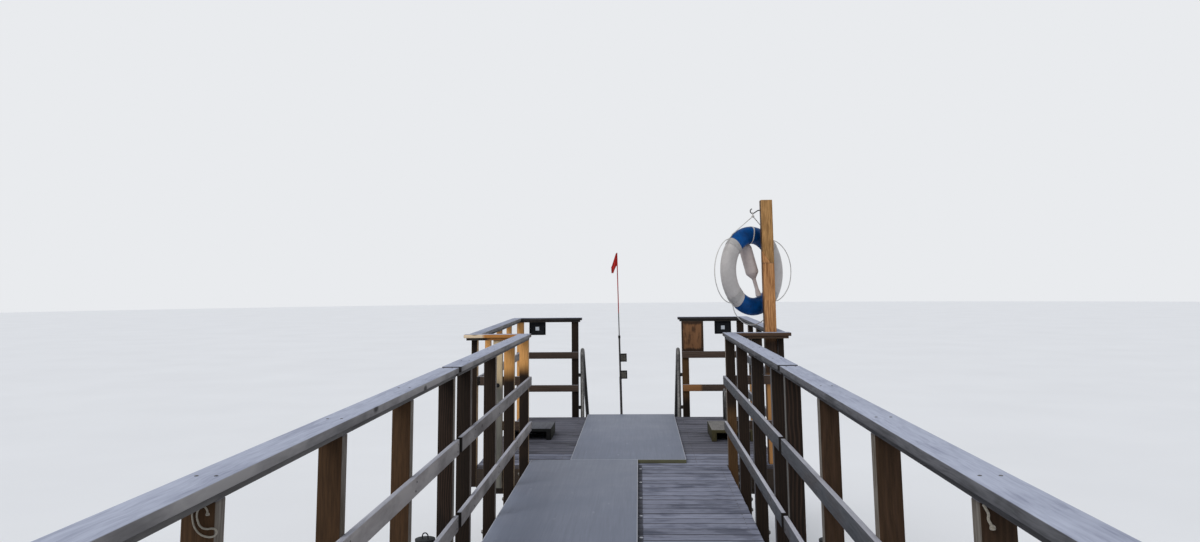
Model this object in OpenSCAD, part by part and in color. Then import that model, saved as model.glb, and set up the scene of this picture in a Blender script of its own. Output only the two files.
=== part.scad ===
// Wooden bathing jetty: a gangway and a walkway between post-and-rail fences, and a railed
// platform with a bathing stair, a life buoy on a tall post, and a marker pole with a flag.
// The shore is at -Y and the stair at +Y. Sizes are in millimetres.

/* [Levels] */
// Height of the decks over the lake bed
deck_h = 1250; // [1150:10:1400]
// Height of the fences over the deck
rail_h = 1050; // [1000:10:1100]
// Height of the far fence over the deck
far_rail_h = 1080; // [1050:5:1100]

/* [Walkway] */
// Clear width between the two rows of posts
walk_w = 1610; // [1450:10:1700]
// Distance from post to post on the gangway
gangway_bay = 835; // [700:5:950]
// Number of bays of the gangway
gangway_bays = 4; // [3:1:6]
// Distance from post to post on the walkway
walkway_bay = 855; // [780:5:950]
// Number of bays of the walkway
walkway_bays = 3; // [2:1:5]
// Gap between the gangway and the walkway
section_gap = 60; // [20:5:90]
// Reach of the walkway's rails before its first post
rail_reach = 337; // [200:1:400]
// Reach of the gangway's rails past its end posts
rail_end = 10; // [5:1:40]

/* [Platform] */
// Length of the platform
platform_l = 2653; // [2500:1:2900]
// Width of the platform between its side posts
platform_w = 2474; // [2440:2:2560]
// Number of bays of a side fence
side_bays = 4; // [3:1:5]
// Clear width between the posts of the stair opening
stair_opening = 1150; // [1120:2:1180]
// Distance from the platform's side to the outer face of a far corner post
far_corner_in = 22; // [10:1:60]
// Distance from the middle to the post in a near fence
near_post_x = 1058; // [1000:1:1080]

/* [Timber] */
// Wide side of a post
post_w = 75; // [65:1:85]
// Narrow side of a post
post_t = 48; // [40:1:56]
// Reach of the posts below the deck
post_below = 170; // [120:1:174]
// Width of a handrail board
cap_w = 100; // [90:1:110]
// Thickness of a handrail board
cap_t = 28; // [22:1:34]
// Width of the board under a handrail board
under_w = 75; // [60:1:85]
// Thickness of the board under a handrail board
under_t = 20; // [16:1:26]
// Reach of a handrail board past the end of the board under it
cap_past = 20; // [10:1:40]
// Height of a mid rail
mid_h = 72; // [55:1:90]
// Thickness of a mid rail
mid_t = 22; // [18:1:28]
// Height of the top of the upper mid rail
upper_mid_z = 705; // [650:1:740]
// Height of the top of the lower mid rail
lower_mid_z = 347; // [300:1:400]
// Gap where two boards meet
board_gap = 3; // [2:1:6]
// Thickness of the deck boards
deck_t = 28; // [24:1:36]
// Distance from the deck's edge to the outer face of the beams
deck_in = 5; // [2:1:15]
// Thickness of the beams
beam_w = 48; // [42:1:60]
// Height of the beams
beam_h = 148; // [148:1:180]
// Height of a cross beam
cross_h = 98; // [80:1:120]
// Width of a cross beam
cross_w = 148; // [130:1:180]

/* [Piles] */
// Diameter of a pile
pile_d = 120; // [100:1:140]
// Distance from the middle to the piles under the walkway
pile_x = 600; // [500:5:640]
// Distance from the middle to the piles under the platform
platform_pile_x = 950; // [800:5:1100]
// Distance from the middle to the mooring piles beside the walkway
side_pile_x = 1270; // [1200:5:1280]
// Distance from the walkway's start to its cross beam
side_cross_y = 1240; // [1100:10:1400]
// Depth of a mooring pile's top below the deck
side_pile_below = 150; // [140:1:160]
// Depth of the notch in a mooring pile
notch_d = 40; // [30:1:50]
// Height of the cap on a mooring pile
pile_cap_h = 14; // [8:1:20]
// Rod of the staple on a pile's cap
ring_rod = 8; // [6:1:10]
// Width of the staple on a pile's cap
ring_d = 50; // [40:1:60]
// Height of the staple on a pile's cap
ring_h = 40; // [32:1:50]

/* [Deck sheets] */
// Thickness of a sheet
sheet_t = 30; // [20:1:36]
// Width of the near sheet
near_sheet_w = 875; // [700:5:1000]
// Length of the near sheet
near_sheet_l = 2600; // [2300:10:2800]
// Distance from the posts to the near sheet
near_sheet_in = 10; // [5:1:40]
// Reach of the near sheet past the walkway onto the platform
near_sheet_past = 72; // [40:1:120]
// Width of the far sheet
far_sheet_w = 948; // [800:2:1000]
// Distance from the far edge of the platform to the far sheet
far_sheet_in = 6; // [5:1:30]

/* [Stair] */
// Height of one step of the stair
stair_rise = 208; // [195:1:215]
// Depth from one step to the next
stair_going = 216; // [205:1:230]
// Number of treads
treads = 5; // [4:1:5]
// Depth of a tread
tread_d = 180; // [160:1:195]
// Thickness of a tread
tread_t = 40; // [30:1:45]
// Thickness of a stringer
stringer_t = 48; // [40:1:50]
// Height of a stringer, measured upright
stringer_h = 275; // [260:1:300]
// Level top of a stringer before it slopes
stringer_seat = 75; // [65:1:90]
// Distance from the middle to a handrail
handrail_x = 535; // [525:1:540]
// Diameter of a handrail tube
tube_d = 42; // [34:1:46]
// Height of a handrail's top over the deck
handrail_top = 740; // [650:5:800]
// Radius of the bends of a handrail
bend_r = 70; // [55:1:90]
// Distance from the platform to the upright leg of a handrail
leg_y = 30; // [29:1:36]
// Distance between the legs of a handrail
leg_span = 960; // [850:10:1000]
// Height of the lower clamp of a handrail
clamp_low = 100; // [80:5:200]
// Height of the upper clamp of a handrail
clamp_high = 450; // [350:5:520]

/* [Life buoy] */
// Side of the buoy post
buoy_post_w = 95; // [80:1:98]
// Height of the buoy post over the deck
buoy_post_h = 2140; // [2000:10:2300]
// Distance from the middle to the buoy post's middle
buoy_post_x = 1187; // [1160:1:1187]
// Outer diameter of the life buoy
buoy_d = 740; // [720:2:756]
// Radial width of the life buoy's section
buoy_band = 145; // [136:1:150]
// Thickness of the life buoy
buoy_t = 104; // [90:1:106]
// Turn of the life buoy about the upright
buoy_turn = 42; // [38:1:46]
// Height of the life buoy's middle over the deck
buoy_z = 1552; // [1500:2:1600]
// Distance from the middle to the life buoy's middle
buoy_x = 1063; // [1045:1:1063]
// Distance from the back of the buoy post to the life buoy's middle
buoy_behind = 5; // [5:1:25]
// Reach of the hook out of the buoy post
hook_reach = 60; // [50:1:75]
// Thickness of a strap around the life buoy
strap_t = 2; // [1:0.5:3]
// Diameter of the float inside the life buoy
float_d = 108; // [95:1:112]
// Length of the straight part of the float
float_l = 205; // [180:1:220]
// Lean of the float across the ring
float_lean = 10; // [6:0.5:12]
// Tilt of the float's lower end toward the front of the ring
float_tilt = 10; // [7:0.5:11]

/* [Small parts] */
// Width of a lamp
lamp_w = 180; // [150:1:200]
// Height of a lamp
lamp_h = 139; // [110:1:150]
// Depth of a lamp
lamp_d = 45; // [30:1:60]
// Distance from the middle to a lamp's inner side
lamp_x = 942; // [900:1:960]
// Width of the bare board on the far right fence
bare_board_w = 240; // [180:5:300]
// Height of a low step
step_h = 105; // [90:1:120]
// Width of a low step
step_w = 400; // [340:5:420]
// Length of the left low step
left_step_l = 430; // [350:5:500]
// Length of the right low step
right_step_l = 560; // [450:5:600]
// Thickness of a low step's top
step_t = 28; // [22:1:34]
// Thickness of a low step's cheeks
step_leg_t = 45; // [34:1:50]
// Diameter of the low hoop's tube
hoop_tube = 27; // [20:1:34]
// Height of the low hoop
hoop_h = 327; // [280:1:360]
// Span of the low hoop
hoop_span = 190; // [150:5:240]
// Height of the marker pole over the deck
pole_h = 1800; // [1600:10:1900]
// Diameter of the marker pole's foot
pole_d = 26; // [22:1:28]
// Lean of the marker pole to the left
pole_lean = 1; // [0:0.5:2]
// Distance from the middle to the marker pole
pole_x = 103; // [80:1:140]
// Width of the flag
flag_w = 60; // [50:1:80]
// Height of the flag
flag_h = 220; // [180:5:260]

/* [Hidden] */
$fn = 48;

// Places along the jetty, from the shore end of the gangway's rails
gangway_l = 2 * rail_end + gangway_bays * gangway_bay + post_t;
walkway_y = gangway_l + section_gap;
first_post_y = walkway_y + rail_reach;
last_post_y = first_post_y + walkway_bays * walkway_bay;
platform_y = last_post_y + post_t;
far_y = platform_y + platform_l;

// Places across the jetty
post_in = walk_w / 2;
post_out = post_in + post_w;
side_in = platform_w / 2;
side_out = side_in + post_t;
side_mid = side_in + post_t / 2;
far_corner_out = side_out - far_corner_in;
far_corner_inner = far_corner_out - post_w;
stair_post_in = stair_opening / 2;

// Levels over the deck
post_top = rail_h - cap_t - under_t;
far_post_top = far_rail_h - cap_t - under_t;
beam_top = -deck_t;
beam_bottom = beam_top - beam_h;
cross_bottom = beam_bottom - cross_h;

// The stair
stair_slope = stair_rise / stair_going;
stringer_top = -deck_t;
stair_run = stringer_seat + (deck_h + stringer_top) / stair_slope;
stair_angle = atan(stair_slope);
total_l = far_y + stair_run;

// The fence over the near edge of the platform, along Y
near_mid_y = last_post_y + post_t / 2;
near_cap_y = near_mid_y - cap_w / 2;
near_under_y = near_mid_y - under_w / 2;
near_cap_back = near_cap_y + cap_w;
near_cap_past = 26;
near_cap_x = side_mid + cap_w / 2 + near_cap_past;
far_mid_y = far_y + post_t / 2;
far_cap_y = far_mid_y - cap_w / 2;
far_under_y = far_mid_y - under_w / 2;
side_post_bay = (far_y - platform_y) / side_bays;

// The life buoy and its post
buoy_post_y = near_cap_back;
buoy_back_y = buoy_post_y + buoy_post_w;
buoy_mid_y = buoy_back_y + buoy_behind;
buoy_r = buoy_d / 2;
buoy_core = buoy_r - buoy_band / 2;
buoy_hole_r = buoy_r - buoy_band;
buoy_flat = buoy_band - buoy_t;
seat_gap = 0.3;
hook_rise = 110;
hook_in = 15;
hook_rod = 9;
hook_curl_r = 20;
hook_x = buoy_post_x - buoy_post_w / 2 - hook_reach;
hook_y = buoy_back_y - hook_in;
hook_z = buoy_z + buoy_r + hook_rise;

// Moves the jetty so that its middle is over the origin and the lake bed at zero
module placed() { translate([0, -total_l / 2, deck_h]) children(); }

// A board or timber between two corners, given as spans along X, Y and Z
module bar(x, y, z) {
    translate([x[0], y[0], z[0]]) cube([x[1] - x[0], y[1] - y[0], z[1] - z[0]]);
}

// Sweeps a round tube through a list of points. The reference direction is one that the
// route never runs along, and it keeps the tube from twisting.
function unit(v) = v / norm(v);
function tangent(p, i) = unit(p[min(i + 1, len(p) - 1)] - p[max(i - 1, 0)]);
module tube(p, d, reference, sides = 8) {
    n = len(p);
    rings = [for (i = [0:n - 1])
        let (t = tangent(p, i), u = unit(cross(reference, t)), v = cross(t, u))
            for (k = [0:sides - 1])
                p[i] + (d / 2) * (cos(360 * k / sides) * u + sin(360 * k / sides) * v)];
    walls = [for (i = [0:n - 2], k = [0:sides - 1])
        let (a = i * sides + k, b = i * sides + (k + 1) % sides)
            [a, a + sides, b + sides, b]];
    ends = [[for (k = [0:sides - 1]) k], [for (k = [sides - 1:-1:0]) (n - 1) * sides + k]];
    polyhedron(rings, concat(walls, ends));
}

// Points along a bend in the upright plane along the jetty, from one angle to another
function bend(y, z, r, from, to, steps) =
    [for (i = [0:steps]) let (a = from + (to - from) * i / steps) [0, y + r * cos(a), z + r * sin(a)]];

// Two legs and a half turn between them, in the upright plane along the jetty
module arch(span, height, d, sides) {
    r = (span - d) / 2;
    leg = height - r - d / 2;
    tube(concat([[0, r, 0]], bend(0, leg, r, 0, 180, 12), [[0, -r, 0]]), d, [1, 0, 0], sides);
}

// The same shape on the left and on the right
module both_sides() {
    children();
    mirror([1, 0, 0]) children();
}

// An outline in the upright plane along the jetty, given thickness across it
module upright(x, outline) {
    translate([x[0], 0, 0]) rotate([90, 0, 90]) linear_extrude(x[1] - x[0]) polygon(outline);
}

// Deck of a section of the walkway
module walk_deck(y) {
    placed() bar([-post_in + deck_in, post_in - deck_in], y, [-deck_t, 0]);
}

// Three beams under a section of the walkway
module walk_beams(y) {
    placed() {
        both_sides() bar([post_in - beam_w, post_in], y, [beam_bottom, beam_top]);
        bar([-beam_w / 2, beam_w / 2], y, [beam_bottom, beam_top]);
    }
}

// Two rows of posts that start at y and stand one bay apart
module walk_posts(y, bay, bays) {
    placed() both_sides() for (i = [0:bays])
        bar([post_in, post_out], [y + i * bay, y + i * bay + post_t], [-post_below, post_top]);
}

// Boards flat on the post tops
module walk_under_boards(y) {
    placed() both_sides()
        bar([post_in + (post_w - under_w) / 2, post_in + (post_w + under_w) / 2], y,
            [post_top, post_top + under_t]);
}

// Handrail boards over the under-boards, a little proud of the posts on the outside
cap_shift = 2.5;
cap_in = post_in + (post_w - cap_w) / 2 - cap_shift;
module walk_caps(y) {
    placed() both_sides() bar([cap_in, cap_in + cap_w], y, [rail_h - cap_t, rail_h]);
}

// Two mid rails on the inner face of each row of posts
module walk_mid_rails(y) {
    placed() both_sides() for (top = [lower_mid_z, upper_mid_z])
        bar([post_in - mid_t, post_in], y, [top - mid_h, top]);
}

module gangway_deck() { color("#8f8c97") walk_deck([0, gangway_l]); }
module gangway_beams() { color("#4a3a2b") walk_beams([0, gangway_l]); }
module gangway_posts() { color("#4b3527") walk_posts(rail_end, gangway_bay, gangway_bays); }
module gangway_under_boards() { color("#5f5a55") walk_under_boards([0, gangway_l]); }
module gangway_caps() { color("#a9a4b3") walk_caps([0, gangway_l]); }
module gangway_mid_rails() { color("#6f6a6c") walk_mid_rails([0, gangway_l]); }

module walkway_deck() { color("#8f8c97") walk_deck([walkway_y, platform_y]); }
module walkway_beams() { color("#4a3a2b") walk_beams([walkway_y, platform_y]); }
module walkway_posts() { color("#4b3527") walk_posts(first_post_y, walkway_bay, walkway_bays); }
module walkway_under_boards() {
    color("#5f5a55") walk_under_boards([walkway_y, near_under_y - board_gap]);
}
module walkway_caps() { color("#a9a4b3") walk_caps([walkway_y, near_cap_y - board_gap]); }
module walkway_mid_rails() { color("#6f6a6c") walk_mid_rails([walkway_y, platform_y - board_gap]); }

module platform_deck() {
    color("#8f8c97") placed()
        bar([-side_in + deck_in, side_in - deck_in], [platform_y + deck_in, far_y - deck_in],
            [-deck_t, 0]);
}

// Beams along the platform, between its end beams
module platform_beams() {
    inner_x = (side_in - beam_w / 2) / 2;
    y = [platform_y + beam_w, far_y - beam_w];
    color("#4a3a2b") placed() {
        both_sides() {
            bar([side_in - beam_w, side_in], y, [beam_bottom, beam_top]);
            bar([inner_x - beam_w / 2, inner_x + beam_w / 2], y, [beam_bottom, beam_top]);
        }
        bar([-beam_w / 2, beam_w / 2], y, [beam_bottom, beam_top]);
    }
}

module platform_end_beams() {
    color("#4a3a2b") placed() for (y = [platform_y, far_y - beam_w])
        bar([-side_in, side_in], [y, y + beam_w], [beam_bottom, beam_top]);
}

// Height of a side fence's post tops, which rise from the near fence to the far one
function side_top(y) =
    post_top + (far_post_top - post_top) * (y - near_under_y - under_w) / (far_under_y - near_under_y - under_w);

// A post of a side fence, with its top cut to the slope of the rail
module side_post(y) {
    upright([side_in, side_out], [
        [y, -post_below], [y + post_w, -post_below], [y + post_w, side_top(y + post_w)],
        [y, side_top(y)]
    ]);
}

// A sloping board on a side fence, between two places along it
module side_board(x, y, low, high) {
    upright(x, [
        [y[0], side_top(y[0]) + low], [y[1], side_top(y[1]) + low],
        [y[1], side_top(y[1]) + high], [y[0], side_top(y[0]) + high]
    ]);
}

// A corner post carries the near fence's level boards and the side fence's sloping ones
module corner_post() {
    seam = near_under_y + under_w;
    upright([side_in, side_out], [
        [platform_y, -post_below], [platform_y + post_w, -post_below],
        [platform_y + post_w, side_top(platform_y + post_w)], [seam, post_top],
        [platform_y, post_top]
    ]);
}

module platform_posts() {
    color("#4b3527") placed() both_sides() {
        bar([near_post_x - post_w / 2, near_post_x + post_w / 2], [last_post_y, platform_y],
            [-post_below, post_top]);
        corner_post();
        for (i = [1:side_bays - 1]) side_post(platform_y + i * side_post_bay);
        bar([far_corner_inner, far_corner_out], [far_y, far_y + post_t],
            [-post_below, far_post_top]);
        bar([stair_post_in, stair_post_in + post_w], [far_y, far_y + post_t],
            [-post_below, far_post_top]);
    }
}

// Boards on the post tops of the near, side and far fences
module platform_under_boards() {
    far_in = stair_post_in - cap_past;
    color("#5f5a55") placed() both_sides() {
        bar([post_in, near_cap_x - cap_past], [near_under_y, near_under_y + under_w],
            [post_top, post_top + under_t]);
        side_board([side_mid - under_w / 2, side_mid + under_w / 2],
            [near_under_y + under_w + board_gap, far_under_y - board_gap], 0, under_t);
        bar([far_in, side_out], [far_under_y, far_under_y + under_w],
            [far_post_top, far_post_top + under_t]);
    }
}

// Handrail boards of the near, side and far fences
module platform_caps() {
    far_in = stair_post_in - 2 * cap_past;
    color("#7d7780") placed() both_sides() {
        bar([cap_in, near_cap_x], [near_cap_y, near_cap_back], [rail_h - cap_t, rail_h]);
        side_board([side_mid - cap_w / 2, side_mid + cap_w / 2],
            [near_cap_back + board_gap, far_cap_y - board_gap], under_t, under_t + cap_t);
        bar([far_in, side_out + cap_past], [far_cap_y, far_cap_y + cap_w],
            [far_rail_h - cap_t, far_rail_h]);
    }
}

// Mid rails on the platform's side of the near, side and far posts. The right side's start
// behind the buoy post.
module platform_mid_rails() {
    right_y = buoy_back_y + board_gap;
    side_end = far_y - mid_t - board_gap;
    color("#5a4a3d") placed() for (top = [lower_mid_z, upper_mid_z]) {
        z = [top - mid_h, top];
        both_sides() {
            bar([post_in, side_in - mid_t - board_gap], [platform_y, platform_y + mid_t], z);
            bar([stair_post_in, far_corner_out], [far_y - mid_t, far_y], z);
        }
        bar([-side_in, mid_t - side_in], [platform_y, side_end], z);
        bar([side_in - mid_t, side_in], [right_y, side_end], z);
    }
}

// A rough bare board that fills the gap over the upper mid rail beside the stair
module weathered_board() {
    color("#6b4a2e") placed()
        bar([stair_post_in, stair_post_in + bare_board_w], [far_y - mid_t, far_y],
            [upper_mid_z, far_post_top]);
}

// Square lamps hung under the far fence's boards, with a recessed face
module lamps() {
    rim = 16;
    recess = 6;
    window = 42;
    front = far_under_y + under_w / 2 - lamp_d;
    bottom = far_post_top - lamp_h;
    mid_x = lamp_x + lamp_w / 2;
    mid_z = bottom + lamp_h / 2;
    color("#202225") placed() both_sides() difference() {
        bar([lamp_x, lamp_x + lamp_w], [front, front + lamp_d], [bottom, far_post_top]);
        bar([lamp_x + rim, lamp_x + lamp_w - rim], [front - 1, front + recess],
            [bottom + rim, far_post_top - rim]);
        bar([mid_x - window / 2, mid_x + window / 2], [front - 1, front + 2 * recess],
            [mid_z - window / 2, mid_z + window / 2]);
    }
}

// A low step: a top on two cheeks, open under the top
module low_step(x, y, l) {
    placed() union() {
        bar([x, x + step_w], [y, y + l], [step_h - step_t, step_h]);
        for (leg_x = [x, x + step_w - step_leg_t])
            bar([leg_x, leg_x + step_leg_t], [y, y + l], [0, step_h - step_t]);
    }
}
left_step_x = -740;
left_step_in = 1183;
right_step_x = 763;
right_step_in = 1083;
module low_step_left() {
    color("#77726f") low_step(left_step_x - step_w, platform_y + left_step_in, left_step_l);
}
module low_step_right() {
    color("#77726f") low_step(right_step_x, platform_y + right_step_in, right_step_l);
}

// A bent tube that stands on the platform
hoop_x = 1010;
hoop_in = 230;
hoop_y = far_y - hoop_in;
module tube_hoop() {
    color("#8b8f92") placed() translate([hoop_x, hoop_y, 0])
        arch(hoop_span, hoop_h, hoop_tube, 12);
}

near_sheet_end = platform_y + near_sheet_past;
module deck_sheet_near() {
    x = -post_in + near_sheet_in;
    color("#737d92") placed()
        bar([x, x + near_sheet_w], [near_sheet_end - near_sheet_l, near_sheet_end], [0, sheet_t]);
}
module deck_sheet_far() {
    color("#737d92") placed()
        bar([-far_sheet_w / 2, far_sheet_w / 2],
            [near_sheet_end + board_gap, far_y - far_sheet_in], [0, sheet_t]);
}

// Level of a stringer's sloping top edge at a distance from the platform
function stringer_z(y) = stringer_top - max(0, y - stringer_seat) * stair_slope;

// Two stringers with a level seat at the top, a notch for the lower leg and a level foot
lower_leg_y = leg_y + leg_span;
foot_d = 56;
foot_t = 6;
notch_half = foot_d / 2 + 4;
module stringer() {
    notch = stringer_z(lower_leg_y + notch_half);
    foot_back = stair_run - stringer_h / stair_slope;
    upright([handrail_x - stringer_t / 2, handrail_x + stringer_t / 2], [
        [far_y, stringer_top], [far_y + stringer_seat, stringer_top],
        [far_y + lower_leg_y - notch_half, stringer_z(lower_leg_y - notch_half)],
        [far_y + lower_leg_y - notch_half, notch], [far_y + lower_leg_y + notch_half, notch],
        [far_y + stair_run, -deck_h], [far_y + foot_back, -deck_h],
        [far_y, stringer_top - stringer_h + stringer_seat * stair_slope]
    ]);
}
module stair_stringers() { color("#4a3a2b") placed() both_sides() stringer(); }

// Treads between the stringers, below the line of their top edges
module stair_treads() {
    half = handrail_x - stringer_t / 2;
    nose_in = 45;
    color("#6b6660") placed() for (i = [1:treads]) {
        y = far_y + stringer_seat + i * stair_going - tread_d - nose_in;
        bar([-half, half], [y, y + tread_d], [-i * stair_rise - tread_t, -i * stair_rise]);
    }
}

// A handrail: an upright leg, a bend over the top, a slope beside the stair and a lower leg
module handrail() {
    top_z = handrail_top - tube_d / 2 - bend_r;
    drop = bend_r * cos(stair_angle);
    slope_y = leg_y + bend_r + bend_r * sin(stair_angle);
    lower_y = lower_leg_y - bend_r;
    low_bend_y = lower_y + bend_r * sin(stair_angle);
    low_z = top_z - (low_bend_y - slope_y) * stair_slope;
    seat = stringer_z(lower_leg_y + notch_half);
    route = concat(
        [[0, leg_y, stringer_top + foot_t / 2]],
        bend(leg_y + bend_r, top_z, bend_r, 180, 90 - stair_angle, 12),
        bend(lower_y, low_z, bend_r, 90 - stair_angle, 0, 6),
        [[0, lower_leg_y, seat + foot_t / 2]]
    );
    translate([handrail_x, far_y, 0]) {
        tube(route, tube_d, [1, 0, 0], 16);
        translate([0, leg_y, stringer_top]) cylinder(d = foot_d, h = foot_t, $fn = 12);
        translate([0, lower_leg_y, seat]) cylinder(d = foot_d, h = foot_t, $fn = 12);
        for (z = [clamp_low, clamp_high]) clamp(z);
    }
}

// A lug that holds the upright leg to the post beside it
module clamp(z) {
    gap = stair_post_in - handrail_x;
    lug_h = 36;
    lug_w = 22;
    translate([0, leg_y - lug_w / 2, z - lug_h / 2]) cube([gap, lug_w, lug_h]);
}
module stair_handrails() { color("#9aa0a3") placed() both_sides() handrail(); }

module buoy_post() {
    color("#a06a35") placed()
        bar([buoy_post_x - buoy_post_w / 2, buoy_post_x + buoy_post_w / 2],
            [buoy_post_y, buoy_back_y], [0, buoy_post_h]);
}

// A rod hook: a shank that dips out of the post, and an open curl from its lowest point up
module buoy_hook() {
    r = hook_curl_r;
    dip = 27;
    shank = [
        [hook_reach, 0, dip], [hook_reach - 12, 0, dip - 1], [hook_reach - 23, 0, dip - 6],
        [24, 0, 12], [12, 0, 4]
    ];
    curl = [for (a = [285:-15:105]) [r * cos(a), 0, r + r * sin(a)]];
    color("#1d1d1f") placed() translate([hook_x, hook_y, hook_z])
        tube(concat(shank, curl), hook_rod, [0, 1, 0], 10);
}

// Puts a shape that is made about the ring's axis at the life buoy's place, axis across
module at_buoy() {
    placed() translate([buoy_x, buoy_mid_y, buoy_z]) rotate([0, 0, buoy_turn])
        rotate([90, 0, 0]) children();
}

// Section of the ring: a flat band with round edges, grown outward by a strap's thickness
module ring_section(grow) {
    r = buoy_t / 2;
    translate([buoy_core, 0]) {
        for (s = [-1, 1]) translate([s * buoy_flat / 2, 0]) circle(r = r + grow);
        square([buoy_flat, 2 * (r + grow)], center = true);
    }
}
module life_buoy() {
    strap_turn = 8;
    color("#1450a0") at_buoy() {
        rotate_extrude($fn = 72) ring_section(0);
        for (a = [45:90:315]) rotate([0, 0, a - strap_turn / 2])
            rotate_extrude(angle = strap_turn) ring_section(strap_t);
    }
}

// A bottle-shaped float held in the ring's hole: its domed top bears on the back of the ring's
// inside, and a narrow neck leads down to a flared tab
module ring_float() {
    r = float_d / 2;
    back = 45;
    angle = -8;
    hang = buoy_core - buoy_flat / 2 - sqrt(pow(buoy_t / 2 + r + seat_gap, 2) - pow(back, 2));
    whole = hang + buoy_hole_r - 3;
    shoulder_l = 50;
    neck_r = 16;
    tab_r = 26;
    tab_l = 62;
    color("#d8d4d2") at_buoy() translate([hang * sin(angle), hang * cos(angle), -back])
        rotate([90 - float_tilt, 0, float_lean]) union() {
            sphere(r = r);
            cylinder(r = r, h = float_l);
            translate([0, 0, float_l]) cylinder(r1 = r, r2 = neck_r, h = shoulder_l);
            cylinder(r = neck_r, h = whole - tab_l);
            translate([0, 0, whole - tab_l]) cylinder(r1 = neck_r, r2 = tab_r, h = tab_l);
        }
}

// Grab line: its route in the ring's own plane, as places across, up and off the plane
grab_line_d = 8;
grab_route = [
    [266.1, 266.1, 0], [331, 245, 8], [390, 206, 14], [438, 153, 18], [470, 90, 20],
    [485, 20, 20], [481, -52, 18], [460, -118, 16], [422, -177, 12], [370, -224, 8],
    [309, -254, 4], [266.1, -266.1, 0], [238, -320, -6], [198, -369, -10], [142, -411, -14],
    [78, -438, -16], [10, -449, -18], [-60, -443, -18], [-125, -420, -16], [-183, -382, -12],
    [-230, -332, -6], [-266.1, -266.1, 0], [-309, -258, 6], [-370, -232, 12],
    [-422, -188, 18], [-460, -132, 24], [-482, -66, 26], [-486, 6, 26], [-472, 78, 24],
    [-440, 144, 20], [-392, 202, 14], [-331, 245, 8], [-266.1, 266.1, 0]
];
module grab_line() { color("#e4e2de") at_buoy() tube(grab_route, grab_line_d, [0, 0, 1]); }

// Taut rope from one upper strap of the ring to the other. It runs over the hook's lowest
// point, and its two parts come together at a knot below the hook.
hanger_d = 8;
module buoy_hanger() {
    strap_r = buoy_r + strap_t + hanger_d / 2 + seat_gap;
    over_r = (hook_rod + hanger_d) / 2 + seat_gap;
    knot_side = hanger_d / 2 + 0.8;
    knot_down = 27;
    at_ring = function (r, a) [
        buoy_x + r * sin(a) * cos(buoy_turn), buoy_mid_y + r * sin(a) * sin(buoy_turn),
        buoy_z + r * cos(a)
    ];
    knot = function (s) [
        [hook_x + 4 * s, hook_y + knot_side * s, hook_z - knot_down],
        [hook_x, hook_y + (knot_side + 1) * s, hook_z - knot_down + 8]
    ];
    over = [for (a = [180:-30:0]) [hook_x, hook_y + over_r * cos(a), hook_z + over_r * sin(a)]];
    color("#e4e2de") placed()
        tube(concat([at_ring(strap_r, -43), at_ring(strap_r + 5, -38)], knot(-1), over,
                    [knot(1)[1], knot(1)[0]], [at_ring(strap_r + 5, 38), at_ring(strap_r, 43)]),
             hanger_d, [1, 0, 0]);
}

// Marker pole: a clamped foot, a dark lower tube, a thin red rod and two small plates
pole_rod_d = 11;
pole_gap = 7;
pole_y = far_y + pole_d / 2 + pole_gap;
module marker_pole() {
    below = 150;
    tube_l = 430;
    rod_from = 870;
    tube_step = 6;
    collar_h = 30;
    collar_over = 10;
    plate = [76, 30, 88];
    plate_levels = [409, 594];
    clamp_w = 36;
    clamp_h = 60;
    clamp_z = -120;
    color("#5c2320") placed() translate([-pole_x, 0, 0]) {
        translate([0, pole_y, 0]) rotate([0, -pole_lean, 0]) {
            translate([0, 0, -below]) cylinder(d = pole_d, h = below + tube_l);
            translate([0, 0, tube_l]) cylinder(d = pole_d - tube_step, h = rod_from - tube_l);
            translate([0, 0, rod_from - collar_h + collar_over]) cylinder(d = pole_d, h = collar_h);
            translate([0, 0, rod_from]) cylinder(d = pole_rod_d, h = pole_h - rod_from);
            for (z = plate_levels) translate([0, -plate[1] / 2, z]) cube(plate);
        }
        bar([-clamp_w / 2, clamp_w / 2], [far_y, pole_y], [clamp_z, clamp_z + clamp_h]);
    }
}

// The flag hangs folded beside the rod
module marker_flag() {
    flag_t = 8;
    rod_gap = 0.5;
    flag_down = 8;
    top = pole_h - flag_down;
    color("#d8261c") placed() translate([-pole_x, pole_y, 0]) rotate([0, -pole_lean, 0])
        translate([-pole_rod_d / 2 - rod_gap - flag_w, -flag_t / 2, top - flag_h])
            cube([flag_w, flag_t, flag_h]);
}

// Cross beams under the beams of each section
joint_y = gangway_l + section_gap / 2;
side_row_y = walkway_y + side_cross_y;
shore_row_in = 150;
near_row_in = 300;
far_row_in = 350;
cross_rows = [
    [shore_row_in, post_in], [joint_y, post_in], [side_row_y, side_pile_x + pile_d / 2],
    [platform_y + near_row_in, side_in], [far_y - far_row_in, side_in]
];
module cross_beams() {
    color("#3f3226") placed() for (row = cross_rows)
        bar([-row[1], row[1]], [row[0] - cross_w / 2, row[0] + cross_w / 2],
            [cross_bottom, beam_bottom]);
}

// Upright piles under the cross beams, and notched mooring piles beside the walkway
side_pile_y = side_row_y + cross_w / 2 + pile_d / 2 - notch_d;
module pile(x, y, top) {
    translate([x, y, -deck_h]) cylinder(d = pile_d, h = deck_h + top);
}
module piles() {
    color("#3a2c20") placed() both_sides() {
        for (y = [cross_rows[0][0], cross_rows[1][0]]) pile(pile_x, y, cross_bottom);
        for (y = [cross_rows[3][0], cross_rows[4][0]]) pile(platform_pile_x, y, cross_bottom);
        difference() {
            pile(side_pile_x, side_pile_y, -side_pile_below);
            bar([side_pile_x - pile_d, side_pile_x + pile_d],
                [side_row_y - cross_w, side_row_y + cross_w / 2], [cross_bottom, beam_bottom]);
        }
    }
}

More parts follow.
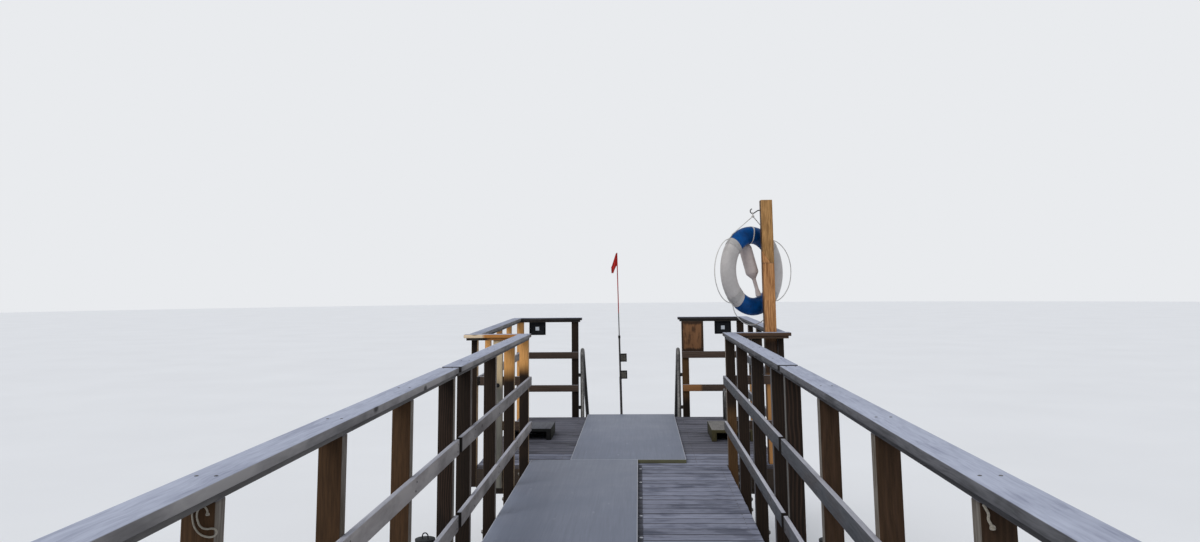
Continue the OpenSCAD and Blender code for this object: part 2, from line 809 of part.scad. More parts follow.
// Dark caps with a small staple on the mooring piles
module pile_caps() {
    lip = 4;
    color("#1e1f22") placed() both_sides()
        translate([side_pile_x, side_pile_y, -side_pile_below]) {
            cylinder(d = pile_d + 2 * lip, h = pile_cap_h);
            translate([0, 0, pile_cap_h - 1]) rotate([0, 0, 110])
                arch(ring_d, ring_h, ring_rod, 8);
        }
}

// Two hanging loops of thin cord on a gangway post, left, and a short rope end, right. Each
// hangs on the face of the post that looks toward the shore, and its route is given as places
// across from the post's inner side, out from that face and up from the post's top.
cord_post_y = rail_end + gangway_bay;
left_cord_d = 4;
left_cord_route = [
    [-45, -2.3, -5], [-48, -4, -18], [-46, -6, -36], [-39, -7, -53], [-27, -7, -65],
    [-13, -7, -70], [-1, -7, -70], [6, -7, -66], [8, -7, -61], [6, -7, -56],
    [-1, -8, -53], [-13, -8, -54], [-25, -9, -50], [-33, -9, -38], [-36, -8, -22],
    [-31, -8, -12], [-21, -10, -8], [-13, -12, -14], [-11, -12, -24]
];
right_cord_d = 6;
right_cord_route = [
    [7, -3.3, -3], [11, -5, -12], [15, -6, -22], [14, -7, -32], [18, -8, -42], [21, -8, -50]
];
module rail_cord(x, route, d) {
    placed() translate([0, cord_post_y, 0])
        tube([for (p = route) p + [x, 0, post_top]], d, [0, 1, 0]);
}
module rail_cord_left() { color("#dcdad6") rail_cord(-post_in, left_cord_route, left_cord_d); }
module rail_cord_right() { color("#dcdad6") rail_cord(post_in, right_cord_route, right_cord_d); }

gangway_deck();
gangway_beams();
gangway_posts();
gangway_under_boards();
gangway_caps();
gangway_mid_rails();
walkway_deck();
walkway_beams();
walkway_posts();
walkway_under_boards();
walkway_caps();
walkway_mid_rails();
platform_deck();
platform_beams();
platform_end_beams();
platform_posts();
platform_under_boards();
platform_caps();
platform_mid_rails();
weathered_board();
lamps();
low_step_left();
low_step_right();
tube_hoop();
deck_sheet_near();
deck_sheet_far();
stair_stringers();
stair_treads();
stair_handrails();
buoy_post();
buoy_hook();
life_buoy();
ring_float();
grab_line();
buoy_hanger();
marker_pole();
marker_flag();
cross_beams();
piles();
pile_caps();
rail_cord_left();
rail_cord_right();
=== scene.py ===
"""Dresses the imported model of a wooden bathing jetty.

The walk, its fences, the platform and the stair come from the frame. Each class here stands for
one sub-assembly: it holds its sizes, builds what the frame leaves plain and gives every surface
its finish. Lengths in the dataclasses are millimetres: x from the middle of the walk, y from the
shore end of the fences, z over the deck.
"""

import logging
import math
import random
from contextlib import contextmanager
from dataclasses import dataclass, replace
from enum import Enum
from functools import partial
from typing import Callable, Iterator, Optional, Protocol, Sequence

import bmesh
import bpy
from mathutils import Matrix, Vector

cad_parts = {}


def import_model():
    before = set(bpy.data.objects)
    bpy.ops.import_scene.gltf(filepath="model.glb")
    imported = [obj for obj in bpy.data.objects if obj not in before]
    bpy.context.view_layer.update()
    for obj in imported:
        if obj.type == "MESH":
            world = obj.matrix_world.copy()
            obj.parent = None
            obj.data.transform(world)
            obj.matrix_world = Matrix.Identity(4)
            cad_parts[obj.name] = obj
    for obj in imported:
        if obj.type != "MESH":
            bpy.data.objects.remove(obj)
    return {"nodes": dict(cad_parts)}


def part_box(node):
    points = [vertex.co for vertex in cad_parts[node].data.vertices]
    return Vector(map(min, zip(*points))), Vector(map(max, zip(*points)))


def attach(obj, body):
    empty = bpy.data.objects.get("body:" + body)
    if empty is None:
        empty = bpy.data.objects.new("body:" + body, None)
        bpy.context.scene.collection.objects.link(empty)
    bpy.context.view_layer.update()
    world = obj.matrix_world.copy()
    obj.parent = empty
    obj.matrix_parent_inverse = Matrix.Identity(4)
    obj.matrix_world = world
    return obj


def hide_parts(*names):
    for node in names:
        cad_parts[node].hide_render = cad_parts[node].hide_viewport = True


LOG = logging.getLogger("jetty")
MM = 0.001
SHORE_Y = -5.2075
DECK_Z = 1.25
# Past this line the stair's handrails slope down and take the black finish, as painted shade.
HANDRAIL_SLOPE_Y = 9192.0
# Rime covers the platform's first four boards.
RIME_LINE_Y = 6906.0
# The fence boards that close the platform's near side lie before this line.
NEAR_SIDE_Y = 6600.0
# The bleached post stands between these two corners.
GREY_POST: tuple[tuple[float, float], tuple[float, float]] = ((-1100.0, 6300.0), (-950.0, 6450.0))
# The rail with a warm patch of painted sunlight lies to the right of this point, past it and
# under it.
WARM_RAIL = (500.0, 9000.0, 500.0)
# Points closer than this are one, and faces that bend by less are one flat face.
WELD = 0.01 * MM
FLAT = math.radians(0.5)
# Wave draws one band for each 0.314 of its scaled coordinate.
BAND = 0.314
# Settings of a Mix node that blends colours, and of a Map Range that eases in and out.
COLOURS = {"out": 2, "data_type": "RGBA"}
SOFT = {"interpolation_type": "SMOOTHSTEP"}

Point = tuple[float, float, float]
Piece = bpy.types.Object
Material = bpy.types.Material
Socket = bpy.types.NodeSocket
Adder = Callable[..., Optional[Socket]]
Sunning = Callable[[Vector, Vector], Point]


def place(x: float, y: float, z: float) -> Vector:
    """Returns a point of the row frame, in metres, from the jetty's own millimetres."""
    return Vector((x * MM, SHORE_Y + y * MM, DECK_Z + z * MM))


class Slot(Enum):
    """Names of material slots."""

    BARE_BOARD = "bare_board"
    BLACK_IRON = "black_iron"
    BROWN_POST = "brown_post"
    BUOY_PLASTIC = "buoy_plastic"
    BUOY_POST_WOOD = "buoy_post_wood"
    CORD = "cord"
    DARK_BEAM = "dark_beam"
    DECK_BOARD = "deck_board"
    DECK_SHEET = "deck_sheet"
    FLAG_CLOTH = "flag_cloth"
    FLOAT_PLASTIC = "float_plastic"
    FROSTED_BOARD = "frosted_board"
    LAMP_HOUSING = "lamp_housing"
    PILE_RUBBER = "pile_rubber"
    PILE_WOOD = "pile_wood"
    POLE_PAINT = "pole_paint"
    STEP_BOARD = "step_board"
    TUBE_STEEL = "tube_steel"
    WEATHERED_RAIL = "weathered_rail"


class FarEnd(Enum):
    """What the far end of a cord has."""

    OBJECT = "object"
    KNOT = "knot"


class Facing(Enum):
    """Which way a fixing's head looks, as the degrees and the axis of its turn from upright."""

    UP = (0.0, "X")
    SHORE = (90.0, "X")
    RIGHT = (90.0, "Y")
    LEFT = (-90.0, "Y")

    def at(self, x: float, y: float, z: float) -> Matrix:
        """Returns the matrix that sets a fixing there, with its head looking this way."""
        degrees, axis = self.value
        return Matrix.Translation(place(x, y, z)) @ Matrix.Rotation(math.radians(degrees), 4, axis)


def linear(code: str) -> tuple[float, float, float, float]:
    """Turns an sRGB hex colour into the linear values that the shader takes.

    Args:
        code: six hex digits.

    Returns:
        Red, green, blue and a full alpha.
    """
    parts = [int(code[i : i + 2], 16) / 255 for i in (0, 2, 4)]
    made = [c / 12.92 if c <= 0.04045 else ((c + 0.055) / 1.055) ** 2.4 for c in parts]
    return (made[0], made[1], made[2], 1.0)


def per_mm(size: float) -> float:
    """Returns a texture's scale for a feature of that many millimetres."""
    return 1 / (size * MM)


def add_node(
    tree: bpy.types.NodeTree, kind: str, inputs: Optional[dict] = None, out: int = 0, **settings
) -> Optional[Socket]:
    """Adds one node with its settings and links.

    Args:
        tree: the material's nodes.
        kind: the node's type, without its leading ShaderNode.
        inputs: socket name or number to a value, a hex colour or the socket that feeds it.
        out: which output is given back.
        settings: the node's own properties.

    Returns:
        The chosen output, or None for the last node of a tree.
    """
    node = tree.nodes.new("ShaderNode" + kind)
    for name, value in settings.items():
        setattr(node, name, value)
    for key, value in (inputs or {}).items():
        if isinstance(value, Socket):
            tree.links.new(value, node.inputs[key])
        else:
            node.inputs[key].default_value = linear(value) if isinstance(value, str) else value
    return node.outputs[out] if len(node.outputs) else None


@dataclass(frozen=True)
class Finish:
    """What every finish has: a name, and a tree of nodes that ends in one shader."""

    name: str

    def surface(self, add: Adder) -> dict:
        """Adds the finish's patterns, and returns what the shader's sockets get, by name."""
        raise NotImplementedError

    def material(self) -> Material:
        """Makes the finish a material.

        Returns:
            The material, under the finish's name.
        """
        material = bpy.data.materials.new(self.name)
        material.use_nodes = True
        material.node_tree.nodes.clear()
        add = partial(add_node, material.node_tree)
        add("OutputMaterial", {"Surface": add("BsdfPrincipled", self.surface(add))})
        return material


@dataclass(frozen=True)
class WoodFinish(Finish):
    """Sawn softwood that has weathered outdoors: long fibres, flat-sawn rings, knots and frost.

    The body shows on faces that stand along the walk and the side colour on faces that look across
    it, so that the two carry painted light and painted shade as the light falls on each; the top
    colours show on faces that look up. Painted sunlight gives some boards a honey colour and a
    cream end.
    """

    body: str
    dark: str
    pale: str
    top: str
    top_dark: str
    side: str
    frost: float = 1.0
    side_share: float = 0.0
    # Painted light: honey and its darker fibres stand for low sunlight (on the near posts a dull
    # brown for their shade), and cream for a sunlit end.
    painted_light: str = "bd8549"
    painted_light_dark: str = "8a5a30"
    strip: str = "c4a078"
    sunlit_cream: str = "dfc9ab"
    sunlit_cream_to: float = -0.36
    end: str = "1a1613"
    end_share: float = 0.35
    heart: str = "140d0a"
    fibre_mm: float = 7.0
    fibre_share: float = 0.5
    ring_mm: float = 11.0
    ring_share: float = 0.5
    blotch_mm: float = 160.0
    blotch_share: float = 0.4
    top_blotch: float = 0.4
    top_lines: float = 0.25
    knot_share: float = 0.8
    edge_share: float = 0.0
    seam_share: float = 0.0
    damp_and_shadow_x: Optional[tuple[float, float]] = None
    damp_and_shadow_from: float = 3890.0
    roughness: float = 0.82
    relief_mm: float = 0.6

    def pattern(self, add: Adder) -> dict[str, Socket]:
        """Adds the patterns that follow each board's own grain.

        Args:
            add: adds a node to the material.

        Returns:
            The patterns by name, each from 0 to 1 or so.
        """
        grain = add("Attribute", out=1, attribute_name="grain")
        # Fibres run along the board, so their pattern is stretched sixteen times that way.
        along = add("Mapping", {"Vector": grain, "Scale": (1, 1, 0.06)})
        sway = add("TexNoise", {"Vector": grain, "Scale": per_mm(230), "Detail": 1.0}, 1)
        bent = add(
            "VectorMath", {0: sway, 1: (0.028, 0.028, 0.0), 2: along}, operation="MULTIPLY_ADD"
        )
        long, near, wide = (
            add("Mapping", {"Vector": source, "Scale": (1, 1, stretch)})
            for source, stretch in ((bent, 0.5), (grain, 0.45), (grain, 0.4))
        )
        # Splits and proud fibres lie about 16 mm apart and run for up to half a metre, rime
        # stands in crystals of 2 mm.
        fibre, crack, cloud, crystal = (
            add(
                "TexNoise",
                {"Vector": source, "Scale": per_mm(size), "Detail": detail, "Roughness": rough},
            )
            for source, size, detail, rough in (
                (bent, self.fibre_mm, 5.0, 0.62), (long, 16, 3.0, 0.7),
                (wide, self.blotch_mm, 4.0, 0.6), (grain, 2.2, 2.0, 0.5),
            )
        )
        rings = add(
            "TexWave",
            {"Vector": bent, "Scale": BAND * per_mm(self.ring_mm), "Distortion": 2.2,
             "Detail": 2.0},
            1, wave_type="RINGS", rings_direction="Z",
        )
        knot = add("TexVoronoi", {"Vector": near, "Scale": per_mm(210)})
        crack, knot, blotch = (
            add(
                "MapRange",
                {"Value": value, "From Min": low, "From Max": high, "To Min": least,
                 "To Max": most},
                **SOFT,
            )
            for value, low, high, least, most in (
                (crack, 0.52, 0.62, 0.0, 1.0), (knot, 0.03, 0.085, 1.0, 0.0),
                (cloud, 0.48, 0.68, 0.0, 1.0),
            )
        )
        ragged = add(
            "MapRange", {"Value": cloud, "From Min": 0.35, "From Max": 0.6, "To Min": 0.6}
        )
        fine = add(
            "MapRange",
            {"Value": fibre, "From Min": 0.38, "From Max": 0.66, "To Max": self.fibre_share},
        )
        return {
            "fibre": fibre, "rings": rings, "crack": crack, "knot": knot, "blotch": blotch,
            "ragged": ragged, "fine": fine, "crystal": crystal,
        }

    def standing_face(self, add: Adder, at: dict[str, Socket]) -> Socket:
        """Adds the colour of faces that don't look up: heartwood, honey, strips and cut ends.

        Args:
            add: adds a node to the material.
            at: the grain patterns.

        Returns:
            The colour.
        """
        span = add("Attribute", out=1, attribute_name="span")
        height = add("SeparateXYZ", {0: span}, 2)
        spans = add("SeparateXYZ", {0: add("VectorMath", {0: span}, operation="ABSOLUTE")})
        spans = spans.node.outputs
        sun = add("Attribute", out=1, attribute_name="sun")
        share, start, strip = add("SeparateXYZ", {0: sun}).node.outputs[:3]
        across = add("SeparateXYZ", {0: add("NewGeometry", out=1)})

        ring = add("MapRange", {"Value": at["rings"], "From Min": 0.35, "To Max": self.ring_share})
        patch = add("Math", {0: at["blotch"], 1: self.blotch_share}, operation="MULTIPLY")
        colour = self.body
        for part, shade in ((at["fine"], self.dark), (ring, self.pale), (patch, self.dark)):
            colour = add("Mix", {0: part, 6: colour, 7: shade}, **COLOURS)

        # Painted light: what lies past the board's own start takes the finish's painted light,
        # mostly the honey colour of low sunlight, counted from the other end for a share below 0.
        way = add("Math", {0: share}, operation="SIGN")
        painted_light_share = add("Math", {0: height, 1: way}, operation="MULTIPLY")
        painted_light_share = add("Math", {0: painted_light_share, 1: start}, operation="SUBTRACT")
        painted_light_share = add("MapRange", {"Value": painted_light_share, "From Max": 0.22}, **SOFT)
        size = add("Math", {0: share}, operation="ABSOLUTE")
        painted_light_share = add("Math", {0: painted_light_share, 1: size}, operation="MULTIPLY", use_clamp=True)
        painted_light = add("Mix", {0: at["fine"], 6: self.painted_light, 7: self.painted_light_dark}, **COLOURS)
        # A share over 1 paints a sunlit cream end as well.
        over = add("Math", {0: share, 1: 1.0}, operation="SUBTRACT", use_clamp=True)
        pale = add(
            "MapRange",
            {"Value": height, "From Min": self.sunlit_cream_to - 0.1, "From Max": self.sunlit_cream_to,
             "To Min": 1.0, "To Max": 0.0},
        )
        pale = add("Math", {0: pale, 1: over}, operation="MULTIPLY")

        # Faces that look across the walk: the side colour, painted for how the light falls on them,
        # and painted cream where the low sun reaches them.
        sideways = add(
            "MapRange",
            {"Value": add("Math", {0: across}, operation="ABSOLUTE"), "From Min": 0.45,
             "From Max": 0.8, "To Max": self.side_share},
        )
        sideways = add("Math", {0: sideways, 1: at["ragged"]}, operation="MULTIPLY")
        sunlit_cream = add("Math", {0: strip, 1: at["ragged"]}, operation="MULTIPLY")
        painted_side = self.side
        for part, shade in ((at["fine"], self.dark), (patch, self.dark), (sunlit_cream, self.strip)):
            painted_side = add("Mix", {0: part, 6: painted_side, 7: shade}, **COLOURS)

        # Cut ends soak up damp and stay darker, and so do the rims of a rough board.
        ends = add(
            "MapRange",
            {"Value": spans[2], "From Min": 0.985, "From Max": 0.9995, "To Max": self.end_share},
        )
        rim = add("Math", {0: spans[0], 1: spans[2]}, operation="MAXIMUM")
        rim = add("Math", {0: at["fibre"], 1: 0.5, 2: rim}, operation="MULTIPLY_ADD")
        rim = add(
            "MapRange", {"Value": rim, "From Min": 0.98, "From Max": 1.1, "To Max": self.edge_share}
        )
        for part, shade in (
            (painted_light_share, painted_light), (pale, self.sunlit_cream), (sideways, painted_side), (ends, self.end),
            (rim, self.dark),
        ):
            colour = add("Mix", {0: part, 6: colour, 7: shade}, **COLOURS)
        return colour

    def upper_face(self, add: Adder, at: dict[str, Socket]) -> Socket:
        """Adds the hoarfrost of faces that look up, thinner on proud fibres, splits and knots.

        Args:
            add: adds a node to the material.
            at: the grain patterns.

        Returns:
            The colour.
        """
        worn = add(
            "MapRange", {"Value": at["fibre"], "From Min": 0.42, "From Max": 0.72, "To Max": 0.5}
        )
        for name, share in (("blotch", self.top_blotch), ("crack", self.top_lines), ("knot", 0.45)):
            worn = add(
                "Math", {0: at[name], 1: share, 2: worn}, operation="MULTIPLY_ADD", use_clamp=True
            )
        # The long arrises are dark 4 mm in from each gap: wet, and with painted shade of the gap.
        side = add("SeparateXYZ", {0: add("Attribute", out=1, attribute_name="span")})
        side = add(
            "MapRange",
            {"Value": add("Math", {0: side}, operation="ABSOLUTE"), "From Min": 0.9,
             "From Max": 0.96, "To Max": self.seam_share},
        )
        rime = self.top
        for part, shade in ((worn, self.top_dark), (side, self.dark)):
            rime = add("Mix", {0: part, 6: rime, 7: shade}, **COLOURS)
        return rime if self.damp_and_shadow_x is None else self.thawed_and_shaded(add, rime, at["fibre"])

    def thawed_and_shaded(self, add: Adder, rime: Socket, fibre: Socket) -> Socket:
        """Adds the dark patches where feet and thaw have taken the rime, and a dark strip beside
        the walk sheet that is damp and holds the raised sheet's painted shadow.

        Args:
            add: adds a node to the material.
            rime: the colour of the rimed boards.
            fibre: the fibres' pattern, which roughens the strip's edge.

        Returns:
            The colour with its thawed places and the sheet's painted shadow.
        """
        # Feet leave patches 300 mm wide that run across the boards.
        spot = add("TexCoord", out=3)
        trodden = add(
            "TexNoise", {"Vector": spot, "Scale": per_mm(300), "Detail": 3.0, "Roughness": 0.65}
        )
        trodden = add(
            "MapRange", {"Value": trodden, "From Min": 0.52, "From Max": 0.66, "To Max": 0.55},
            **SOFT,
        )
        # A strip beside the walk sheet is dark: damp from melted rime, and painted shadow of the
        # raised sheet.
        near = add("SeparateXYZ", {0: spot})
        ragged = add("Math", {0: fibre, 1: 0.03, 2: near}, operation="MULTIPLY_ADD")
        low, high = (edge * MM + 0.015 for edge in self.damp_and_shadow_x)
        strip = add(
            "Math", {0: ragged, 1: (low + high) / 2, 2: (high - low) / 2}, operation="COMPARE"
        )
        past = add(
            "Math", {0: near.node.outputs[1], 1: place(0, self.damp_and_shadow_from, 0).y},
            operation="GREATER_THAN",
        )
        past = add("Math", {0: past, 1: 0.8}, operation="MULTIPLY")
        strip = add("Math", {0: strip, 1: past}, operation="MULTIPLY")
        for part, shade in ((trodden, self.top_dark), (strip, self.dark)):
            rime = add("Mix", {0: part, 6: rime, 7: shade}, **COLOURS)
        return rime

    def surface(self, add: Adder) -> dict:
        """Adds the whole board, by its own attributes.

        Args:
            add: adds a node to the material.

        Returns:
            What the shader's sockets get.
        """
        at = self.pattern(add)
        looks_up = add(
            "MapRange",
            {"Value": add("SeparateXYZ", {0: add("NewGeometry", out=1)}, 2), "From Min": 0.45,
             "From Max": 0.85, "To Max": self.frost},
            **SOFT,
        )
        not_up = add("Math", {0: 1.0, 1: looks_up}, operation="SUBTRACT")
        knot = add("Math", {0: at["knot"], 1: self.knot_share}, operation="MULTIPLY")
        knot = add("Math", {0: knot, 1: not_up}, operation="MULTIPLY")
        colour = self.standing_face(add, at)
        for part, shade in ((looks_up, self.upper_face(add, at)), (knot, self.heart)):
            colour = add("Mix", {0: part, 6: colour, 7: shade}, **COLOURS)
        # Boards of one batch still differ by a shade.
        tone = add("Attribute", out=2, attribute_name="tone")
        value = add("MapRange", {"Value": tone, "To Min": 0.84, "To Max": 1.14})
        colour = add("HueSaturation", {"Value": value, "Color": colour})
        # Crystals stand on top of the fibres, and splits cut into them.
        height = at["fibre"]
        for name, share in (("crystal", 0.3), ("crack", -0.5)):
            height = add("Math", {0: at[name], 1: share, 2: height}, operation="MULTIPLY_ADD")
        bump = add("Bump", {"Strength": 0.55, "Distance": self.relief_mm * MM, "Height": height})
        rough = add(
            "MapRange",
            {"Value": at["fibre"], "To Min": self.roughness - 0.1, "To Max": self.roughness + 0.1},
        )
        return {"Base Color": colour, "Roughness": rough, "Normal": bump, "Specular IOR Level": 0.2}


@dataclass(frozen=True)
class SheetFinish(Finish):
    """Film-faced plywood walk sheet: a slate-grey film with drag marks and a green-grey edge."""

    name: str = "film_faced_plywood"
    film: str = "6f7686"
    film_dark: str = "6a7080"
    film_pale: str = "777e8f"
    scuffed: str = "959cab"
    grit: str = "43464f"
    lip: str = "b3b6bf"
    edge: str = "62614a"
    ply: str = "2f2d27"
    moss: str = "6a6a45"

    def veneers(self, add: Adder, spot: Socket, cloud: Socket) -> Socket:
        """Adds the cut edge: veneers of about 2.5 mm, mossy in places.

        Args:
            add: adds a node to the material.
            spot: the object coordinates.
            cloud: the wide pattern.

        Returns:
            The edge's colour.
        """
        layers = add(
            "TexWave", {"Vector": spot, "Scale": BAND * per_mm(5), "Distortion": 0.4},
            bands_direction="Z",
        )
        share = add("MapRange", {"Value": layers, "To Max": 0.5})
        moss = add("MapRange", {"Value": cloud, "From Min": 0.4, "From Max": 0.6, "To Max": 0.6})
        colour = self.edge
        for part, shade in ((share, self.ply), (moss, self.moss)):
            colour = add("Mix", {0: part, 6: colour, 7: shade}, **COLOURS)
        return colour

    def surface(self, add: Adder) -> dict:
        """Adds the film, its worn lips and its ply edge.

        Args:
            add: adds a node to the material.

        Returns:
            What the shader's sockets get.
        """
        spot = add("TexCoord", out=3)
        # Drag marks about 14 mm apart, far longer than wide, so that they show from the shore
        # end, and short pale scuffs that sand has left.
        streak, scuff = (
            add("Mapping", {"Vector": spot, "Scale": (1, stretch, 1)}) for stretch in (0.03, 0.35)
        )
        lines, cloud = (
            add(
                "TexNoise",
                {"Vector": source, "Scale": per_mm(size), "Detail": detail, "Roughness": rough},
            )
            for source, size, detail, rough in ((streak, 14, 4.0, 0.65), (spot, 420, 3.0, 0.6))
        )
        line = add("MapRange", {"Value": lines, "From Min": 0.3, "From Max": 0.7})
        wide = add(
            "MapRange", {"Value": cloud, "From Min": 0.35, "From Max": 0.65, "To Max": 0.6}
        )
        # Scuffs lie 120 mm apart, and grit sits in pits 85 mm apart, 4 mm wide.
        scuff, grit = (
            add(
                "MapRange",
                {"Value": add("TexVoronoi", {"Vector": source, "Scale": per_mm(size)}),
                 "From Min": low, "From Max": high, "To Min": share, "To Max": 0.0},
            )
            for source, size, low, high, share in (
                (scuff, 120, 0.03, 0.1, 0.4), (spot, 85, 0.015, 0.035, 0.7)
            )
        )
        # The film is rubbed pale along its lips, about 5 mm wide.
        span = add("Attribute", out=1, attribute_name="span")
        reach = add("SeparateXYZ", {0: add("VectorMath", {0: span}, operation="ABSOLUTE")})
        side, lip = (
            add("Math", {0: reach.node.outputs[axis], 1: limit}, operation="GREATER_THAN")
            for axis, limit in ((0, 0.987), (2, 0.9965))
        )
        lip = add("Math", {0: side, 1: lip}, operation="MAXIMUM")
        lip = add("Math", {0: lip, 1: 0.6}, operation="MULTIPLY")
        colour = self.film_dark
        for part, shade in (
            (line, self.film_pale), (wide, self.film), (scuff, self.scuffed), (grit, self.grit),
            (lip, self.lip),
        ):
            colour = add("Mix", {0: part, 6: colour, 7: shade}, **COLOURS)
        up = add("SeparateXYZ", {0: add("NewGeometry", out=1)}, 2)
        flat = add("MapRange", {"Value": up, "From Min": 0.3, "From Max": 0.6})
        edge = self.veneers(add, spot, cloud)
        colour = add("Mix", {0: flat, 6: edge, 7: colour}, **COLOURS)
        bump = add("Bump", {"Strength": 0.4, "Distance": 0.4 * MM, "Height": lines})
        rough = add("MapRange", {"Value": cloud, "To Min": 0.5, "To Max": 0.75})
        return {"Base Color": colour, "Roughness": rough, "Normal": bump}


@dataclass(frozen=True)
class MetalFinish(Finish):
    """Galvanised or painted iron: a cast skin with spangle or orange peel, and rubbed spots."""

    body: str
    dark: str
    pale: str
    metallic: float
    roughness: float
    spangle_mm: float = 14.0
    streak: float = 0.15
    rust: float = 0.0
    specular: float = 0.2
    rusty: str = "5b3a22"

    def surface(self, add: Adder) -> dict:
        """Adds the spangle, the runs that rain leaves and the rust.

        Args:
            add: adds a node to the material.

        Returns:
            What the shader's sockets get.
        """
        spot = add("TexCoord", out=3)
        flake = add("TexVoronoi", {"Vector": spot, "Scale": per_mm(self.spangle_mm)}, 1)
        flake = add("SeparateXYZ", {0: flake})
        cloud = add(
            "TexNoise", {"Vector": spot, "Scale": per_mm(60), "Detail": 5.0, "Roughness": 0.65}
        )
        drips = add("Mapping", {"Vector": spot, "Scale": (1, 1, 0.08)})
        drips = add("TexNoise", {"Vector": drips, "Scale": per_mm(9), "Detail": 3.0})
        mixed = add("Math", {0: flake, 1: 0.35, 2: cloud}, operation="MULTIPLY_ADD")
        mixed = add("MapRange", {"Value": mixed, "From Min": 0.4, "From Max": 0.85})
        run = add(
            "MapRange",
            {"Value": drips, "From Min": 0.5, "From Max": 0.75, "To Max": self.streak * 3},
        )
        rust = add(
            "MapRange", {"Value": cloud, "From Min": 0.58, "From Max": 0.7, "To Max": self.rust}
        )
        colour = self.dark
        for part, shade in ((mixed, self.body), (run, self.pale), (rust, self.rusty)):
            colour = add("Mix", {0: part, 6: colour, 7: shade}, **COLOURS)
        rough = add(
            "MapRange",
            {"Value": cloud, "To Min": self.roughness - 0.12, "To Max": self.roughness + 0.12},
        )
        bump = add("Bump", {"Strength": 0.3, "Distance": 0.3 * MM, "Height": mixed})
        return {
            "Base Color": colour, "Roughness": rough, "Normal": bump, "Metallic": self.metallic,
            "Specular IOR Level": self.specular,
        }


@dataclass(frozen=True)
class PlasticFinish(Finish):
    """Rotation-moulded polyethylene left outdoors: a soft gloss, fine pitting, chalk and grime."""

    body: str
    dark: str
    pale: str
    roughness: float = 0.36
    grime: float = 0.5
    specular: float = 0.2

    def surface(self, add: Adder) -> dict:
        """Adds the chalked skin, its grime and its pits.

        Args:
            add: adds a node to the material.

        Returns:
            What the shader's sockets get.
        """
        spot = add("TexCoord", out=3)
        cloud, chalk, pits = (
            add(
                "TexNoise",
                {"Vector": spot, "Scale": per_mm(size), "Detail": detail, "Roughness": rough},
            )
            for size, detail, rough in ((110, 5.0, 0.6), (24, 4.0, 0.5), (1.6, 2.0, 0.5))
        )
        worn = add("MapRange", {"Value": cloud, "From Min": 0.36, "From Max": 0.66})
        dirt = add(
            "MapRange", {"Value": chalk, "From Min": 0.5, "From Max": 0.72, "To Max": self.grime}
        )
        colour = self.body
        for part, shade in ((worn, self.pale), (dirt, self.dark)):
            colour = add("Mix", {0: part, 6: colour, 7: shade}, **COLOURS)
        rough = add(
            "MapRange",
            {"Value": chalk, "To Min": self.roughness - 0.08, "To Max": self.roughness + 0.2},
        )
        bump = add("Bump", {"Strength": 0.25, "Distance": 0.2 * MM, "Height": pits})
        return {
            "Base Color": colour, "Roughness": rough, "Normal": bump,
            "Specular IOR Level": self.specular,
        }


@dataclass(frozen=True)
class FibreFinish(Finish):
    """Braided polyester cord or thin woven cloth: short threads, a soft sheen and light soiling."""

    body: str
    dark: str
    thread_mm: float
    sheen: float = 0.25
    roughness: float = 0.85

    def surface(self, add: Adder) -> dict:
        """Adds the threads, drawn coarser than they are so that they show, and the soil.

        Args:
            add: adds a node to the material.

        Returns:
            What the shader's sockets get.
        """
        spot = add("TexCoord", out=3)
        skew = add("Mapping", {"Vector": spot, "Rotation": (0.6, 0.5, 0.0)})
        weave = add(
            "TexWave",
            {"Vector": skew, "Scale": BAND * per_mm(self.thread_mm), "Distortion": 1.2},
            bands_direction="DIAGONAL",
        )
        share = add("MapRange", {"Value": weave, "To Max": 0.35})
        soil = add("TexNoise", {"Vector": spot, "Scale": per_mm(45), "Detail": 4.0})
        dirt = add("MapRange", {"Value": soil, "From Min": 0.45, "From Max": 0.75, "To Max": 0.6})
        colour = self.body
        for part in (share, dirt):
            colour = add("Mix", {0: part, 6: colour, 7: self.dark}, **COLOURS)
        bump = add("Bump", {"Strength": 0.5, "Distance": 0.3 * MM, "Height": weave})
        return {
            "Base Color": colour, "Normal": bump, "Roughness": self.roughness,
            "Sheen Weight": self.sheen,
        }


@dataclass(frozen=True)
class HazyFinish(Finish):
    """An even skin with a faint haze: a cast floor, or a moulded opal pane."""

    body: str
    haze: str
    haze_mm: float
    detail: float
    haze_share: float
    roughness: float

    def surface(self, add: Adder) -> dict:
        """Adds the haze.

        Args:
            add: adds a node to the material.

        Returns:
            What the shader's sockets get.
        """
        haze = add(
            "TexNoise",
            {"Vector": add("TexCoord", out=3), "Scale": per_mm(self.haze_mm),
             "Detail": self.detail},
        )
        share = add("MapRange", {"Value": haze, "To Max": self.haze_share})
        colour = add("Mix", {0: share, 6: self.body, 7: self.haze}, **COLOURS)
        return {"Base Color": colour, "Roughness": self.roughness}


class Stock(Enum):
    """A choice of finishes, each made a material when a piece first takes it."""

    @property
    def coat(self) -> Material:
        """Gives the finish as a material, the same one each time.

        Returns:
            The material.
        """
        if self not in COATS:
            COATS[self] = self.value.material()
        return COATS[self]


COATS: dict[Stock, Material] = {}


